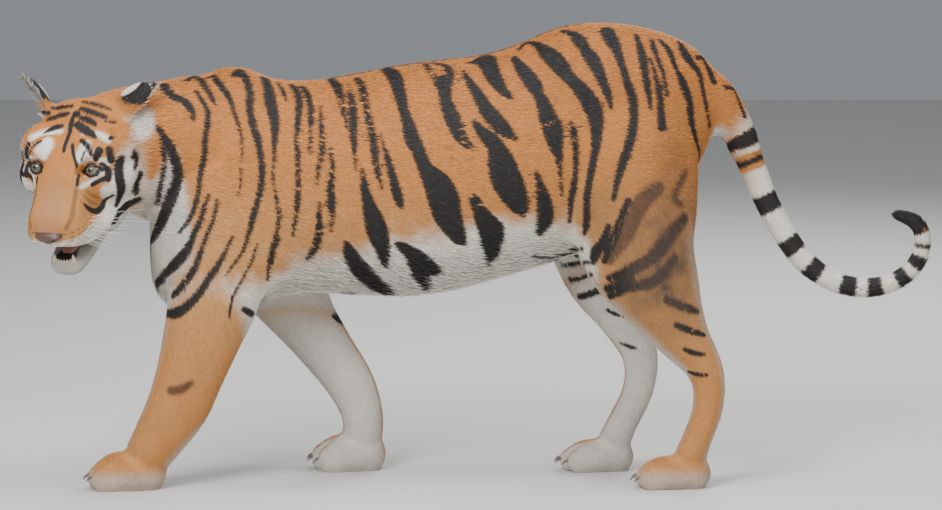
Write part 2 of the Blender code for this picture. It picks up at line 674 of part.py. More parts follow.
def loose_pieces(item, collection):
    """Splits an object into one new object for each separate closed surface."""
    work = bmesh.new()
    work.from_mesh(item.data)
    left = set(work.verts)
    pieces = []
    while left:
        island = {left.pop()}
        edge = list(island)
        while edge:
            reached = [e.other_vert(v) for v in edge for e in v.link_edges]
            edge = [v for v in set(reached) if v in left]
            left.difference_update(edge)
            island.update(edge)
        part = work.copy()
        keep = {v.index for v in island}
        part.verts.ensure_lookup_table()
        bmesh.ops.delete(part, geom=[v for v in part.verts if v.index not in keep], context="VERTS")
        mesh = bpy.data.meshes.new("piece")
        part.to_mesh(mesh)
        part.free()
        pieces.append(add_object("piece", mesh, collection))
    work.free()
    bpy.data.objects.remove(item)
    return pieces


def middle_of(item):
    """Mean of an object's vertices."""
    points = [vertex.co for vertex in item.data.vertices]
    return sum(points, Vector()) / len(points)


def named_pieces(pieces):
    """Gives each piece the name whose inner point is nearest to the piece's middle."""
    named = {}
    anchors = dict(PIECES)
    for side, name in ((1, "left_ear"), (-1, "right_ear")):
        root, rise, opening = ear_axes(side)
        anchors[name] = head_matrix() @ Vector(root + rise * EAR_LENGTH * 0.7 - opening * 0.03)
    for piece in pieces:
        middle = middle_of(piece)
        name = min(anchors, key=lambda key: (Vector(anchors[key]) - middle).length)
        if name in named:
            raise ValueError(f"two pieces are both {name}, near {tuple(middle)}")
        piece.name = name
        named[name] = piece
    missing = set(anchors) - set(named)
    if missing:
        raise ValueError(f"no piece is {sorted(missing)}")
    return named


def eye_centre(side):
    """An eyeball's centre in the head's own axes; side is +1 for the left."""
    return Vector((-EYE_RADIUS * math.cos(EYE_RISE), side * EYE_APART, -EYE_RADIUS * math.sin(EYE_RISE)))


def principled(name):
    """The named material as a Principled BSDF."""
    colour, roughness = MATERIALS[name]
    material = bpy.data.materials.get(name) or bpy.data.materials.new(name)
    material.use_nodes = True
    shader = material.node_tree.nodes["Principled BSDF"]
    shader.inputs["Base Color"].default_value = (*colour, 1.0)
    shader.inputs["Roughness"].default_value = roughness
    return material


def finish_piece(item, material):
    """Sets the material, smooth shading and the piece's place about the model's origin."""
    item.data.transform(Matrix.Translation(PLACE))
    item.data.materials.clear()
    item.data.materials.append(principled(material))
    item.data.shade_smooth()


def build_tiger():
    """Models the whole body, then parts it."""
    for item in list(bpy.data.objects):
        bpy.data.objects.remove(item)
    tiger = bpy.data.collections.new("tiger")
    guides = bpy.data.collections.new("cutters")
    for collection in (tiger, guides):
        bpy.context.scene.collection.children.link(collection)

    body = closed_skin(tiger, guides)
    to_head = head_matrix()
    sockets = [add_object("socket", ball("socket", eye_centre(side), (EYE_RADIUS + GAP,) * 3, to_head, 14),
                          guides) for side in (1, -1)]
    nose_centre, nose_radii = NOSE
    sockets.append(add_object("nose_seat", ball("nose_seat", nose_centre, [r + GAP for r in nose_radii],
                                                to_head, 14), guides))
    cut_away(body, sockets)

    jaw = add_object("lower_jaw", body.data.copy(), tiger)
    keep = jaw.modifiers.new("jaw", "BOOLEAN")
    keep.object = add_object("jaw_block", jaw_block(0.0), guides)
    keep.operation = "INTERSECT"
    frozen(jaw)
    cut_away(body, [add_object("jaw_gap", jaw_block(CUT), guides)])
    cut_away(body, [add_object("plate", mesh, guides) for mesh in plate_meshes()])

    pieces = named_pieces(loose_pieces(body, tiger))
    pieces["lower_jaw"] = jaw
    with_teeth(pieces["head"], [tooth_mesh(*tooth) for tooth in UPPER_TEETH], guides)
    with_teeth(jaw, [tooth_mesh(*tooth) for tooth in LOWER_TEETH] + incisor_meshes(), guides)

    tongue = add_object("tongue", in_head(mesh_from_rings("tongue", loft(head_rows(TONGUE), 2, 14))), tiger)
    room = [(along, height, over + GAP, under + GAP, side + GAP)
            for along, height, over, under, side in TONGUE]
    room[0] = (room[0][0] - GAP, *room[0][1:])
    room[-1] = (room[-1][0] + GAP, *room[-1][1:])
    bed = add_object("tongue_bed", in_head(mesh_from_rings("bed", loft(head_rows(room), 2, 14))), guides)
    cut_away(jaw, [bed])
    cut_away(pieces["head"], [bed])

    for side, name in ((1, "left_eye"), (-1, "right_eye")):
        eye = add_object(name, ball(name, eye_centre(side), (EYE_RADIUS,) * 3, to_head, 14), tiger)
        finish_piece(eye, "eye_glass")
    finish_piece(add_object("nose", ball("nose", nose_centre, nose_radii, to_head, 14), tiger), "nose_pink")
    finish_piece(tongue, "tongue_pink")
    for name, piece in pieces.items():
        shade = "coat_white" if name in WHITE_PIECES else "coat_orange"
        finish_piece(piece, "coat_dark" if name in DARK_PIECES else shade)
    for guide in guides.objects:
        guide.hide_render = True
        guide.display_type = "WIRE"


build_tiger()
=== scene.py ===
"""A life-size tiger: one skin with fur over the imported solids, with eyes, nose, mouth and whiskers."""
import math

import bmesh
import bpy
import numpy as np
from mathutils import Matrix, Vector
from mathutils.bvhtree import BVHTree


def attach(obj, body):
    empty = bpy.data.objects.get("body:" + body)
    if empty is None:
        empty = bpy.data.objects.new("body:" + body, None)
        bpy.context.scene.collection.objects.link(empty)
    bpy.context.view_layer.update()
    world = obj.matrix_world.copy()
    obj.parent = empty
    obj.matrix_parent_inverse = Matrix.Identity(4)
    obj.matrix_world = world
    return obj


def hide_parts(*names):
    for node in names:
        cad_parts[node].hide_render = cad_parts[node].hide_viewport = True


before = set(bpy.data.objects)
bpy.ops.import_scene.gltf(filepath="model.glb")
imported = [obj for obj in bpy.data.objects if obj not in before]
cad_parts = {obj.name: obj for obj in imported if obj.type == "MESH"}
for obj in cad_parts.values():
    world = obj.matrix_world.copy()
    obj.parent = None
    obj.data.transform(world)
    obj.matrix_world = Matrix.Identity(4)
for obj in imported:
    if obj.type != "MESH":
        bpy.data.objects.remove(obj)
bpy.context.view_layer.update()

# ---------------------------------------------------------------- shape, as in the solids

PLACE = np.array([-0.018, 0.066, 0.0])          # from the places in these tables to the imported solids'
EYES_AT = np.array([-0.877, -0.260, 0.714])     # between the eyes, where the head's own axes start
HEAD_TURN = math.radians(24)                    # the muzzle's direction from -Y towards -X, and below level
HEAD_DROP = math.radians(33)
EYE_APART = 0.0655                              # half the distance between the eyes
EYE_RADIUS = 0.0195
EYE_RISE = math.radians(33)                     # from the muzzle's direction up to the gaze, which is level
EAR_LENGTH = 0.100
EAR_HALF_WIDTH = 0.048
EAR_CUP = math.radians(62)
EAR_THICK = 0.014
WIDEST = 0.46                       # height of the trunk's widest place, as a share of its depth
HEAD_SQUARE = 0.84                  # fills out the corners of the head's sections

VOXEL = 0.0065                      # grid of the closed skin
HEAD_ZOOM = 1.9                     # the head is worked this much larger, so the grid is finer there
ZOOM_CORE = 0.20
ZOOM_EDGE = 0.45
ZOOM_BACK = 0.06                    # the zoom's middle, behind and below the place between the eyes
ZOOM_DOWN = 0.04
FLESH_ROUNDS = 37                   # rounds of softening of each closed skin
JOIN_ROUNDS = 3
SKIN_ROUNDS = 10
SKIN_TRIANGLES = 190000
LOFT_STEPS = 6
BALL_SIDES = 36
CHUNK = 8000                        # points worked on at a time, to spare memory

# Stations of the trunk: X, height of the back, height of the belly, half width.
TRUNK = [
    (-0.706, 0.650, 0.450, 0.062), (-0.692, 0.730, 0.405, 0.095), (-0.664, 0.800, 0.378, 0.122),
    (-0.625, 0.850, 0.364, 0.145), (-0.570, 0.906, 0.360, 0.158), (-0.500, 0.914, 0.376, 0.168),
    (-0.430, 0.890, 0.400, 0.178), (-0.350, 0.886, 0.410, 0.190), (-0.250, 0.902, 0.405, 0.200),
    (-0.150, 0.921, 0.402, 0.205), (-0.060, 0.932, 0.410, 0.203), (0.030, 0.944, 0.432, 0.194),
    (0.110, 0.970, 0.456, 0.184), (0.190, 1.003, 0.480, 0.176), (0.270, 1.013, 0.510, 0.170),
    (0.350, 1.008, 0.545, 0.160), (0.430, 0.988, 0.600, 0.138), (0.490, 0.958, 0.670, 0.105),
    (0.525, 0.922, 0.745, 0.075), (0.550, 0.888, 0.790, 0.045),
]
# Stations of the neck: X, Y, Z, reach over, under and to each side; LEGS has the same columns.
NECK = [
    (-0.830, -0.160, 0.745, 0.112, 0.105, 0.108), (-0.770, -0.108, 0.742, 0.134, 0.132, 0.124),
    (-0.700, -0.058, 0.738, 0.148, 0.162, 0.136), (-0.620, -0.020, 0.732, 0.166, 0.190, 0.142),
    (-0.530, 0.000, 0.725, 0.178, 0.200, 0.140),
]
# Stations of the head, in its own axes: along the muzzle, towards the crown, and the same three reaches.
SKULL = [
    (-0.260, -0.060, 0.070, 0.080, 0.088), (-0.215, -0.068, 0.112, 0.100, 0.116),
    (-0.170, -0.072, 0.136, 0.106, 0.130), (-0.120, -0.070, 0.134, 0.104, 0.135),
    (-0.080, -0.064, 0.118, 0.100, 0.131), (-0.050, -0.056, 0.101, 0.096, 0.122),
    (-0.020, -0.050, 0.083, 0.092, 0.102), (0.005, -0.050, 0.069, 0.084, 0.080),
    (0.030, -0.058, 0.060, 0.068, 0.068), (0.060, -0.066, 0.048, 0.054, 0.064),
    (0.090, -0.076, 0.042, 0.045, 0.064), (0.112, -0.082, 0.037, 0.037, 0.055),
    (0.128, -0.084, 0.026, 0.029, 0.040), (0.138, -0.084, 0.012, 0.014, 0.020),
]
JAW = [
    (-0.150, -0.125, 0.030, 0.044, 0.082), (-0.080, -0.142, 0.024, 0.040, 0.074),
    (-0.020, -0.162, 0.018, 0.034, 0.063), (0.035, -0.177, 0.013, 0.030, 0.054),
    (0.075, -0.181, 0.018, 0.029, 0.048), (0.102, -0.183, 0.022, 0.026, 0.041),
    (0.119, -0.184, 0.012, 0.018, 0.026),
]
MOUTH_AIR = [                       # the wedge between the jaws
    (0.028, -0.160, 0.003, 0.003, 0.080), (0.060, -0.152, 0.010, 0.010, 0.090),
    (0.095, -0.144, 0.017, 0.017, 0.090), (0.125, -0.142, 0.021, 0.020, 0.090),
    (0.160, -0.142, 0.026, 0.022, 0.090),
]
# Masses in the head's axes: middle, radii, and whether the right half has one too.
HEAD_MASSES = [
    ((0.082, 0.034, -0.094), (0.048, 0.038, 0.034), True),      # whisker pads
    ((0.045, 0.044, -0.115), (0.060, 0.034, 0.046), True),      # hanging upper lips
    ((-0.052, 0.054, 0.006), (0.048, 0.048, 0.036), True),      # brows
    ((-0.054, 0.084, -0.050), (0.062, 0.056, 0.050), True),     # cheekbones
    ((-0.088, 0.094, -0.012), (0.060, 0.044, 0.052), True),     # temples
    ((-0.108, 0.086, -0.112), (0.062, 0.056, 0.078), True),     # cheek ruffs
    ((-0.035, 0.062, -0.128), (0.078, 0.042, 0.046), True),     # jowls
    ((0.092, 0.000, -0.186), (0.028, 0.036, 0.024), False),     # chin
]
EYE_HOLLOW = ((0.006, 0.069, 0.008), (0.021, 0.029, 0.021))
# Each ear is turned by itself: the left (+1) is laid back, the right (-1) stands up.
EAR_ROOT = {1: (-0.176, 0.077, 0.008), -1: (-0.130, 0.112, 0.026)}
EAR_RISE = {1: (-0.62, 0.68, 0.40), -1: (-0.42, 0.40, 0.82)}
EAR_OPEN = {1: (-0.32, 0.25, -0.92), -1: (0.78, 0.55, -0.20)}
EAR_PATCH = {1: 0.019, -1: 0.0}     # the white patch, to the side of the middle of the back
EAR_PALE_AND_SHADE = {1: 0.92, -1: 0.50}      # brightness of the hair inside; the right ear's lower value is painted shade in its hollow
LEGS = {
    "left_fore": [
        (-0.560, -0.100, 0.700, 0.110, 0.110, 0.060), (-0.560, -0.114, 0.600, 0.125, 0.120, 0.076),
        (-0.560, -0.126, 0.500, 0.124, 0.112, 0.080), (-0.568, -0.134, 0.420, 0.112, 0.098, 0.074),
        (-0.590, -0.136, 0.340, 0.096, 0.084, 0.064), (-0.618, -0.136, 0.255, 0.084, 0.072, 0.056),
        (-0.646, -0.134, 0.185, 0.080, 0.064, 0.054), (-0.684, -0.132, 0.115, 0.066, 0.056, 0.053),
        (-0.716, -0.130, 0.062, 0.054, 0.050, 0.052),
    ],
    "right_fore": [
        (-0.520, 0.105, 0.700, 0.110, 0.110, 0.060), (-0.510, 0.118, 0.600, 0.120, 0.120, 0.078),
        (-0.480, 0.128, 0.500, 0.115, 0.110, 0.080), (-0.428, 0.134, 0.420, 0.108, 0.094, 0.072),
        (-0.372, 0.136, 0.340, 0.078, 0.076, 0.062), (-0.318, 0.136, 0.265, 0.064, 0.064, 0.054),
        (-0.268, 0.134, 0.190, 0.058, 0.056, 0.050), (-0.240, 0.132, 0.120, 0.048, 0.050, 0.050),
        (-0.242, 0.130, 0.062, 0.046, 0.050, 0.052),
    ],
    "left_hind": [
        (0.330, -0.070, 0.860, 0.120, 0.130, 0.080), (0.345, -0.092, 0.740, 0.150, 0.150, 0.096),
        (0.352, -0.106, 0.620, 0.146, 0.150, 0.096), (0.368, -0.116, 0.520, 0.128, 0.132, 0.082),
        (0.410, -0.122, 0.430, 0.100, 0.104, 0.066), (0.462, -0.124, 0.340, 0.062, 0.070, 0.048),
        (0.512, -0.122, 0.258, 0.044, 0.044, 0.038), (0.516, -0.120, 0.180, 0.040, 0.036, 0.036),
        (0.494, -0.118, 0.110, 0.038, 0.036, 0.038), (0.476, -0.118, 0.060, 0.040, 0.040, 0.042),
    ],
    "right_hind": [
        (0.330, 0.070, 0.860, 0.120, 0.130, 0.080), (0.327, 0.092, 0.740, 0.150, 0.150, 0.096),
        (0.306, 0.106, 0.620, 0.148, 0.146, 0.096), (0.282, 0.116, 0.520, 0.124, 0.118, 0.082),
        (0.294, 0.122, 0.430, 0.094, 0.088, 0.066), (0.338, 0.124, 0.340, 0.060, 0.058, 0.048),
        (0.376, 0.122, 0.258, 0.045, 0.044, 0.039), (0.370, 0.120, 0.180, 0.041, 0.037, 0.037),
        (0.338, 0.118, 0.110, 0.039, 0.037, 0.039), (0.316, 0.118, 0.060, 0.041, 0.041, 0.043),
    ],
}
# Masses of both sides of the body: middle and radii.
MUSCLES = [
    ((-0.550, 0.056, 0.775), (0.130, 0.064, 0.125)),    # shoulder blade
    ((-0.605, 0.094, 0.560), (0.100, 0.078, 0.150)),    # point of the shoulder
    ((-0.490, 0.104, 0.560), (0.115, 0.074, 0.165)),    # triceps
    ((0.290, 0.076, 0.830), (0.215, 0.084, 0.150)),     # rump
]
# Feet: middle (X, Y), half length, half width, height.
PAWS = {
    "left_fore": ((-0.752, -0.131), 0.088, 0.066, 0.088),
    "right_fore": ((-0.275, 0.131), 0.086, 0.066, 0.086),
    "left_hind": ((0.440, -0.118), 0.086, 0.056, 0.076),
    "right_hind": ((0.278, 0.118), 0.086, 0.056, 0.076),
}
# Stations of the tail: X, Y, Z, radius.
TAIL = [
    (0.470, 0.000, 0.850, 0.084), (0.515, 0.000, 0.842, 0.070), (0.554, 0.000, 0.812, 0.054),
    (0.588, 0.000, 0.762, 0.042), (0.616, 0.000, 0.694, 0.034), (0.650, 0.000, 0.614, 0.031),
    (0.690, 0.002, 0.542, 0.030), (0.735, 0.004, 0.482, 0.029), (0.795, 0.006, 0.440, 0.027),
    (0.865, 0.008, 0.424, 0.026), (0.930, 0.008, 0.437, 0.025), (0.976, 0.006, 0.474, 0.024),
    (0.994, 0.004, 0.525, 0.023), (0.978, 0.000, 0.568, 0.022), (0.940, -0.004, 0.586, 0.018),
]


# ---------------------------------------------------------------- curves, frames and masses


def link(name, mesh):
    """A new object for the mesh, lamp or camera, in the scene."""
    item = bpy.data.objects.new(name, mesh)
    bpy.context.scene.collection.objects.link(item)
    return item


def read_points(mesh):
    """The mesh's points as an array of rows."""
    points = np.empty(len(mesh.vertices) * 3)
    mesh.vertices.foreach_get("co", points)
    return points.reshape(-1, 3)


def head_axes():
    """The muzzle's direction, the head's own left, and its crown, as unit vectors."""
    muzzle = Vector((-math.sin(HEAD_TURN) * math.cos(HEAD_DROP),
                     -math.cos(HEAD_TURN) * math.cos(HEAD_DROP),
                     -math.sin(HEAD_DROP)))
    left = Vector((math.cos(HEAD_TURN), -math.sin(HEAD_TURN), 0.0))
    return muzzle, left, muzzle.cross(left)


HEAD_AXES = np.array([tuple(axis) for axis in head_axes()])


def unit(vectors):
    """The rows of the array at length 1."""
    return vectors / np.maximum(np.linalg.norm(vectors, axis=1), 1e-9)[:, None]


def smooth_rows(rows, steps):
    """Catmull-Rom curve through the rows, with the given number of steps between two of them."""
    rows = np.asarray(rows, float)
    padded = np.vstack([2 * rows[0] - rows[1], rows, 2 * rows[-1] - rows[-2]])
    at = np.linspace(0, len(rows) - 1, (len(rows) - 1) * steps + 1)
    first = np.minimum(at.astype(int), len(rows) - 2)
    t = (at - first)[:, None]
    a, b, c, d = (padded[first + i] for i in range(4))
    bend = (2 * a - 5 * b + 4 * c - d) * t ** 2 + (3 * b - a - 3 * c + d) * t ** 3
    return 0.5 * (2 * b + (c - a) * t + bend)


def loft(rows, sides=48, square=1.0, upright=False):
    """Closed tube through stations (x, y, z, over, under, side).

    Each section is perpendicular to the path and made of two half ellipses, 'over' and 'under' the
    centre, as wide as 'side' to each side, with the side direction kept as near +Y as the path allows.
    A 'square' below 1 fills out the corners of the ellipses: sine and cosine are raised to that power.
    Sections of an 'upright' loft stand across X instead of across the path.
    """
    rows = smooth_rows(rows, LOFT_STEPS)
    path = rows[:, :3]
    along = np.tile([1.0, 0.0, 0.0], (len(path), 1)) if upright else unit(np.gradient(path, axis=0))
    across = unit(np.array([0.0, 1.0, 0.0]) - along * along[:, 1:2])
    over = np.cross(along, across)
    angle = np.linspace(0, 2 * math.pi, sides, endpoint=False)
    sine = np.sign(np.sin(angle)) * np.abs(np.sin(angle)) ** square
    cosine = np.sign(np.cos(angle)) * np.abs(np.cos(angle)) ** square
    rise = np.where(sine > 0, rows[:, 3:4], rows[:, 4:5]) * sine
    reach = rows[:, 5:6] * cosine
    return path[:, None] + over[:, None] * rise[..., None] + across[:, None] * reach[..., None]


def mesh_from_rings(name, rings):
    """Mesh whose faces join each ring to the next, with a flat cap on the first and last."""
    count, sides, _ = rings.shape
    ring, side = np.mgrid[0:count - 1, 0:sides]
    after = (side + 1) % sides
    quads = np.stack([ring * sides + side, (ring + 1) * sides + side,
                      (ring + 1) * sides + after, ring * sides + after], axis=-1)
    faces = quads.reshape(-1, 4).tolist()
    faces.append(list(range(sides)))
    faces.append(list(range(count * sides - 1, (count - 1) * sides - 1, -1)))
    mesh = bpy.data.meshes.new(name)
    mesh.from_pydata(rings.reshape(-1, 3).tolist(), [], faces)
    set_outward(mesh)
    return mesh


def set_outward(mesh):
    """Turns every face of a closed mesh outwards."""
    work = bmesh.new()
    work.from_mesh(mesh)
    bmesh.ops.recalc_face_normals(work, faces=work.faces)
    work.to_mesh(mesh)
    work.free()


def ball(name, centre, radii):
    """Ellipsoid mesh with the given centre and radii."""
    work = bmesh.new()
    bmesh.ops.create_uvsphere(work, u_segments=BALL_SIDES, v_segments=BALL_SIDES // 2, radius=1.0)
    bmesh.ops.transform(work, matrix=Matrix.Translation(centre) @ Matrix.Diagonal((*radii, 1.0)),
                        verts=work.verts)
    mesh = bpy.data.meshes.new(name)
    work.to_mesh(mesh)
    work.free()
    return mesh


def both_sides(centre):
    """The centre and its mirror image across the body's or the head's middle plane."""
    return [Vector(centre), Vector((centre[0], -centre[1], centre[2]))]


def trunk_rows():
    """Trunk stations with the widest place as the centre of each section."""
    rows = []
    for x, back, belly, half_width in TRUNK:
        widest = belly + WIDEST * (back - belly)
        rows.append((x, 0.0, widest, back - widest, widest - belly, half_width))
    return rows


def head_rows(stations):
    """Stations along the muzzle as loft rows in the head's own axes."""
    return [(along, 0.0, height, over, under, side) for along, height, over, under, side in stations]


def in_head(mesh):
    """Moves a mesh from the head's own axes, measured from between the eyes, into the body's."""
    mesh.transform(Matrix.Translation(EYES_AT) @ Matrix(head_axes()).transposed().to_4x4())
    return mesh


def ear_axes(side):
    """An ear's root, its rise and the way that it opens, at right angles to the rise.

    side is +1 for the left ear and -1 for the right, here and in every function that takes it.
    """
    mirror = np.array([1.0, side, 1.0])
    rise = np.array(EAR_RISE[side]) * mirror
    rise /= np.linalg.norm(rise)
    opening = np.array(EAR_OPEN[side]) * mirror
    opening -= rise * (opening @ rise)
    return np.array(EAR_ROOT[side]) * mirror, rise, opening / np.linalg.norm(opening)


def ear_mesh(side):
    """Cupped shell: an arc of EAR_CUP to each side, narrowing to a round tip, EAR_THICK thick.

    At the share h of its length the half width is EAR_HALF_WIDTH * sqrt(1 - h^2.6), and its cup is 0.85
    as deep as that is wide.
    """
    root, rise, opening = ear_axes(side)
    across = np.cross(rise, opening)
    height, turn = np.meshgrid(np.linspace(-0.25, 1.0, 26), np.linspace(-1, 1, 27), indexing="ij")
    width = EAR_HALF_WIDTH * np.sqrt(np.clip(1.0 - np.clip(height, 0, 1) ** 2.6, 0.02, 1))
    layers = []
    for depth in (0.0, EAR_THICK):
        reach = width + depth - EAR_THICK / 2
        sideways = np.sin(turn * EAR_CUP) * reach
        backwards = -np.cos(turn * EAR_CUP) * reach * 0.85
        upwards = height * EAR_LENGTH * (1 - 0.12 * turn ** 2) + np.where(height > 0.99, depth / 2, 0)
        layers.append(root + rise * upwards[..., None] + across * sideways[..., None]
                      + opening * backwards[..., None])
    inner, outer = layers
    rings = np.concatenate([inner, outer[:, ::-1]], axis=1)
    return in_head(mesh_from_rings("ear", rings))


def toe_places(half_length, half_width, side):
    """How far before the foot's centre, and how far to its left, each of the four toes lies."""
    for spread in (-1, -1 / 3, 1 / 3, 1):
        yield half_length * (0.62 - 0.20 * abs(spread) - 0.05 * spread * side), spread * half_width * 0.66


def paw_meshes(centre, half_length, half_width, height, side):
    """A foot of one broad pad, a heel and four toes, standing on the floor and facing -X."""
    x, y = centre
    meshes = [
        ball("pad", (x, y, height * 0.40), (half_length * 0.86, half_width * 0.94, height * 0.56)),
        ball("heel", (x + half_length * 0.42, y, height * 0.42),
             (half_length * 0.60, half_width * 0.74, height * 0.62)),
    ]
    for forward, sideways in toe_places(half_length, half_width, side):
        meshes.append(ball("toe", (x - forward, y + sideways, height * 0.31),
                           (half_length * 0.42, half_width * 0.30, height * 0.40)))
    return meshes


def flesh_meshes():
    """The overlapping masses of the body, which are softened into each other."""
    meshes = [
        mesh_from_rings("trunk", loft(trunk_rows(), upright=True)),
        mesh_from_rings("neck", loft(NECK)),
        in_head(mesh_from_rings("skull", loft(head_rows(SKULL), square=HEAD_SQUARE))),
        in_head(mesh_from_rings("jaw", loft(head_rows(JAW), square=HEAD_SQUARE))),
        tail_mesh(TAIL),
    ]
    for rows in LEGS.values():
        meshes.append(mesh_from_rings("limb", loft(rows)))
    for centre, radii in MUSCLES:
        meshes += [ball("muscle", at, radii) for at in both_sides(centre)]
    for centre, radii, paired in HEAD_MASSES:
        places = both_sides(centre) if paired else [Vector(centre)]
        meshes += [in_head(ball("mass", at, radii)) for at in places]
    return meshes


def tail_mesh(stations):
    """The tail, or a length of it, as a round tube."""
    return mesh_from_rings("tail", loft([(x, y, z, r, r, r) for x, y, z, r in stations], sides=32))


def slender_meshes():
    """Ears, tail and feet, which join the softened body and keep more of their own shape."""
    *tip, radius = TAIL[-1]
    meshes = [ear_mesh(1), ear_mesh(-1), tail_mesh(TAIL[3:]), ball("tail_tip", tip, (radius,) * 3)]
    for name, size in PAWS.items():
        meshes += paw_meshes(*size, 1 if name.startswith("left") else -1)
    return meshes


def joined(name, meshes):
    """One object that holds all the meshes, still overlapping."""
    work = bmesh.new()
    for mesh in meshes:
        work.from_mesh(mesh)
    mesh = bpy.data.meshes.new(name)
    work.to_mesh(mesh)
    work.free()
    return link(name, mesh)


def frozen(item):
    """Replaces an object's mesh with what its modifiers make of it."""
    finished = item.evaluated_get(bpy.context.evaluated_depsgraph_get())
    shape = bpy.data.meshes.new_from_object(finished)
    item.modifiers.clear()
    item.data = shape


def zoom_table():
    """Distance from the head's middle before and after the zoom, as two rising lists.

    The rate of growth is HEAD_ZOOM inside ZOOM_CORE and falls smoothly to 1 at ZOOM_EDGE.
    """
    before = np.linspace(0, 3.0, 3001)
    fade = np.clip((before - ZOOM_CORE) / (ZOOM_EDGE - ZOOM_CORE), 0, 1)
    rate = 1 + (HEAD_ZOOM - 1) * (1 - fade * fade * (3 - 2 * fade))
    after = np.concatenate([[0.0], np.cumsum((rate[1:] + rate[:-1]) / 2 * np.diff(before))])
    return before, after


def zoom_head(mesh, inwards=False):
    """Swells the space round the head, or with inwards takes the swelling back out."""
    before, after = zoom_table()
    source, target = (after, before) if inwards else (before, after)
    muzzle, _, crown = head_axes()
    middle = np.array(Vector(EYES_AT) - ZOOM_BACK * muzzle - ZOOM_DOWN * crown)
    offset = read_points(mesh) - middle
    distance = np.maximum(np.linalg.norm(offset, axis=1), 1e-9)
    offset *= (np.interp(distance, source, target) / distance)[:, None]
    mesh.vertices.foreach_set("co", (offset + middle).ravel())
    mesh.update()


def closed(item, rounds):
    """Wraps one voxel skin round everything in the object and softens it for the given rounds."""
    grid = item.modifiers.new("close", "REMESH")
    grid.mode = "VOXEL"
    grid.voxel_size = VOXEL
    step = item.modifiers.new("soften", "SMOOTH")
    step.factor = 0.5
    step.iterations = rounds
    frozen(item)


def closed_body():
    """Points and triangles of one skin round all the masses, with an open mouth and flat soles."""
    flesh = joined("flesh", flesh_meshes())
    zoom_head(flesh.data)
    closed(flesh, FLESH_ROUNDS)
    slender = joined("slender", slender_meshes())
    zoom_head(slender.data)
    body = joined("body", [flesh.data, slender.data])
    closed(body, JOIN_ROUNDS)
    hollow, radii = EYE_HOLLOW
    air = [in_head(mesh_from_rings("mouth_air", loft(head_rows(MOUTH_AIR))))]
    air += [in_head(ball("eye_air", at, radii)) for at in both_sides(hollow)]
    for mesh in air:
        zoom_head(mesh)
    cutters = [link("air", mesh) for mesh in air]
    for cutter in cutters:
        step = body.modifiers.new("cut", "BOOLEAN")
        step.object = cutter
        step.operation = "DIFFERENCE"
    frozen(body)
    closed(body, SKIN_ROUNDS)
    thin = body.modifiers.new("thin", "DECIMATE")
    thin.ratio = SKIN_TRIANGLES / (2 * len(body.data.polygons))
    frozen(body)
    zoom_head(body.data, inwards=True)
    points = read_points(body.data)
    body.data.calc_loop_triangles()
    faces = np.empty(len(body.data.loop_triangles) * 3, int)
    body.data.loop_triangles.foreach_get("vertices", faces)
    for item in [flesh, slender, body] + cutters:
        bpy.data.objects.remove(item)
    return points, faces.reshape(-1, 3)


# ---------------------------------------------------------------- where each point lies on the body

def to_head(points):
    """Points in the head's own axes: along the muzzle, to the head's left, towards the crown.

    The functions below call these three f, l and u.
    """
    return (points - EYES_AT) @ HEAD_AXES.T


def from_head(points):
    """Points given in the head's own axes, in the body's."""
    return np.asarray(points, float) @ HEAD_AXES + EYES_AT


def path_stations():
    """The body's paths by name, in the direction of the fur's lie, each as rows of X, Y, Z and radius."""
    trunk = [(x, 0, z, (over + under) / 4 + side / 2) for x, _, z, over, under, side in trunk_rows()]
    neck = [(x, y, z, (over + under + 2 * side) / 4) for x, y, z, over, under, side in NECK]
    paths = {"trunk": trunk, "neck": neck}
    for name, rows in (("skull", SKULL), ("jaw", JAW)):
        paths[name] = [(*from_head((f, 0, u)), (over + under + 2 * side) / 4)
                       for f, u, over, under, side in rows[::-1]]
    for name, rows in LEGS.items():
        (x, y), half_length, half_width, height = PAWS[name]
        limb = [(x, y, z, (back + front + 2 * side) / 4) for x, y, z, back, front, side in rows[2:]]
        paths[name] = limb + [(x, y, height * 0.45, half_width), (x - half_length, y, 0.02, 0.03)]
    paths["tail"] = TAIL[2:] + [(0.922, -0.005, 0.588, 0.016)]
    for side in (1, -1):
        root, rise, opening = ear_axes(side)
        paths[f"ear{side}"] = [(*from_head(root + rise * EAR_LENGTH * t - opening * 0.03), 0.040)
                               for t in (0.25, 0.6, 1.0)]
    return paths


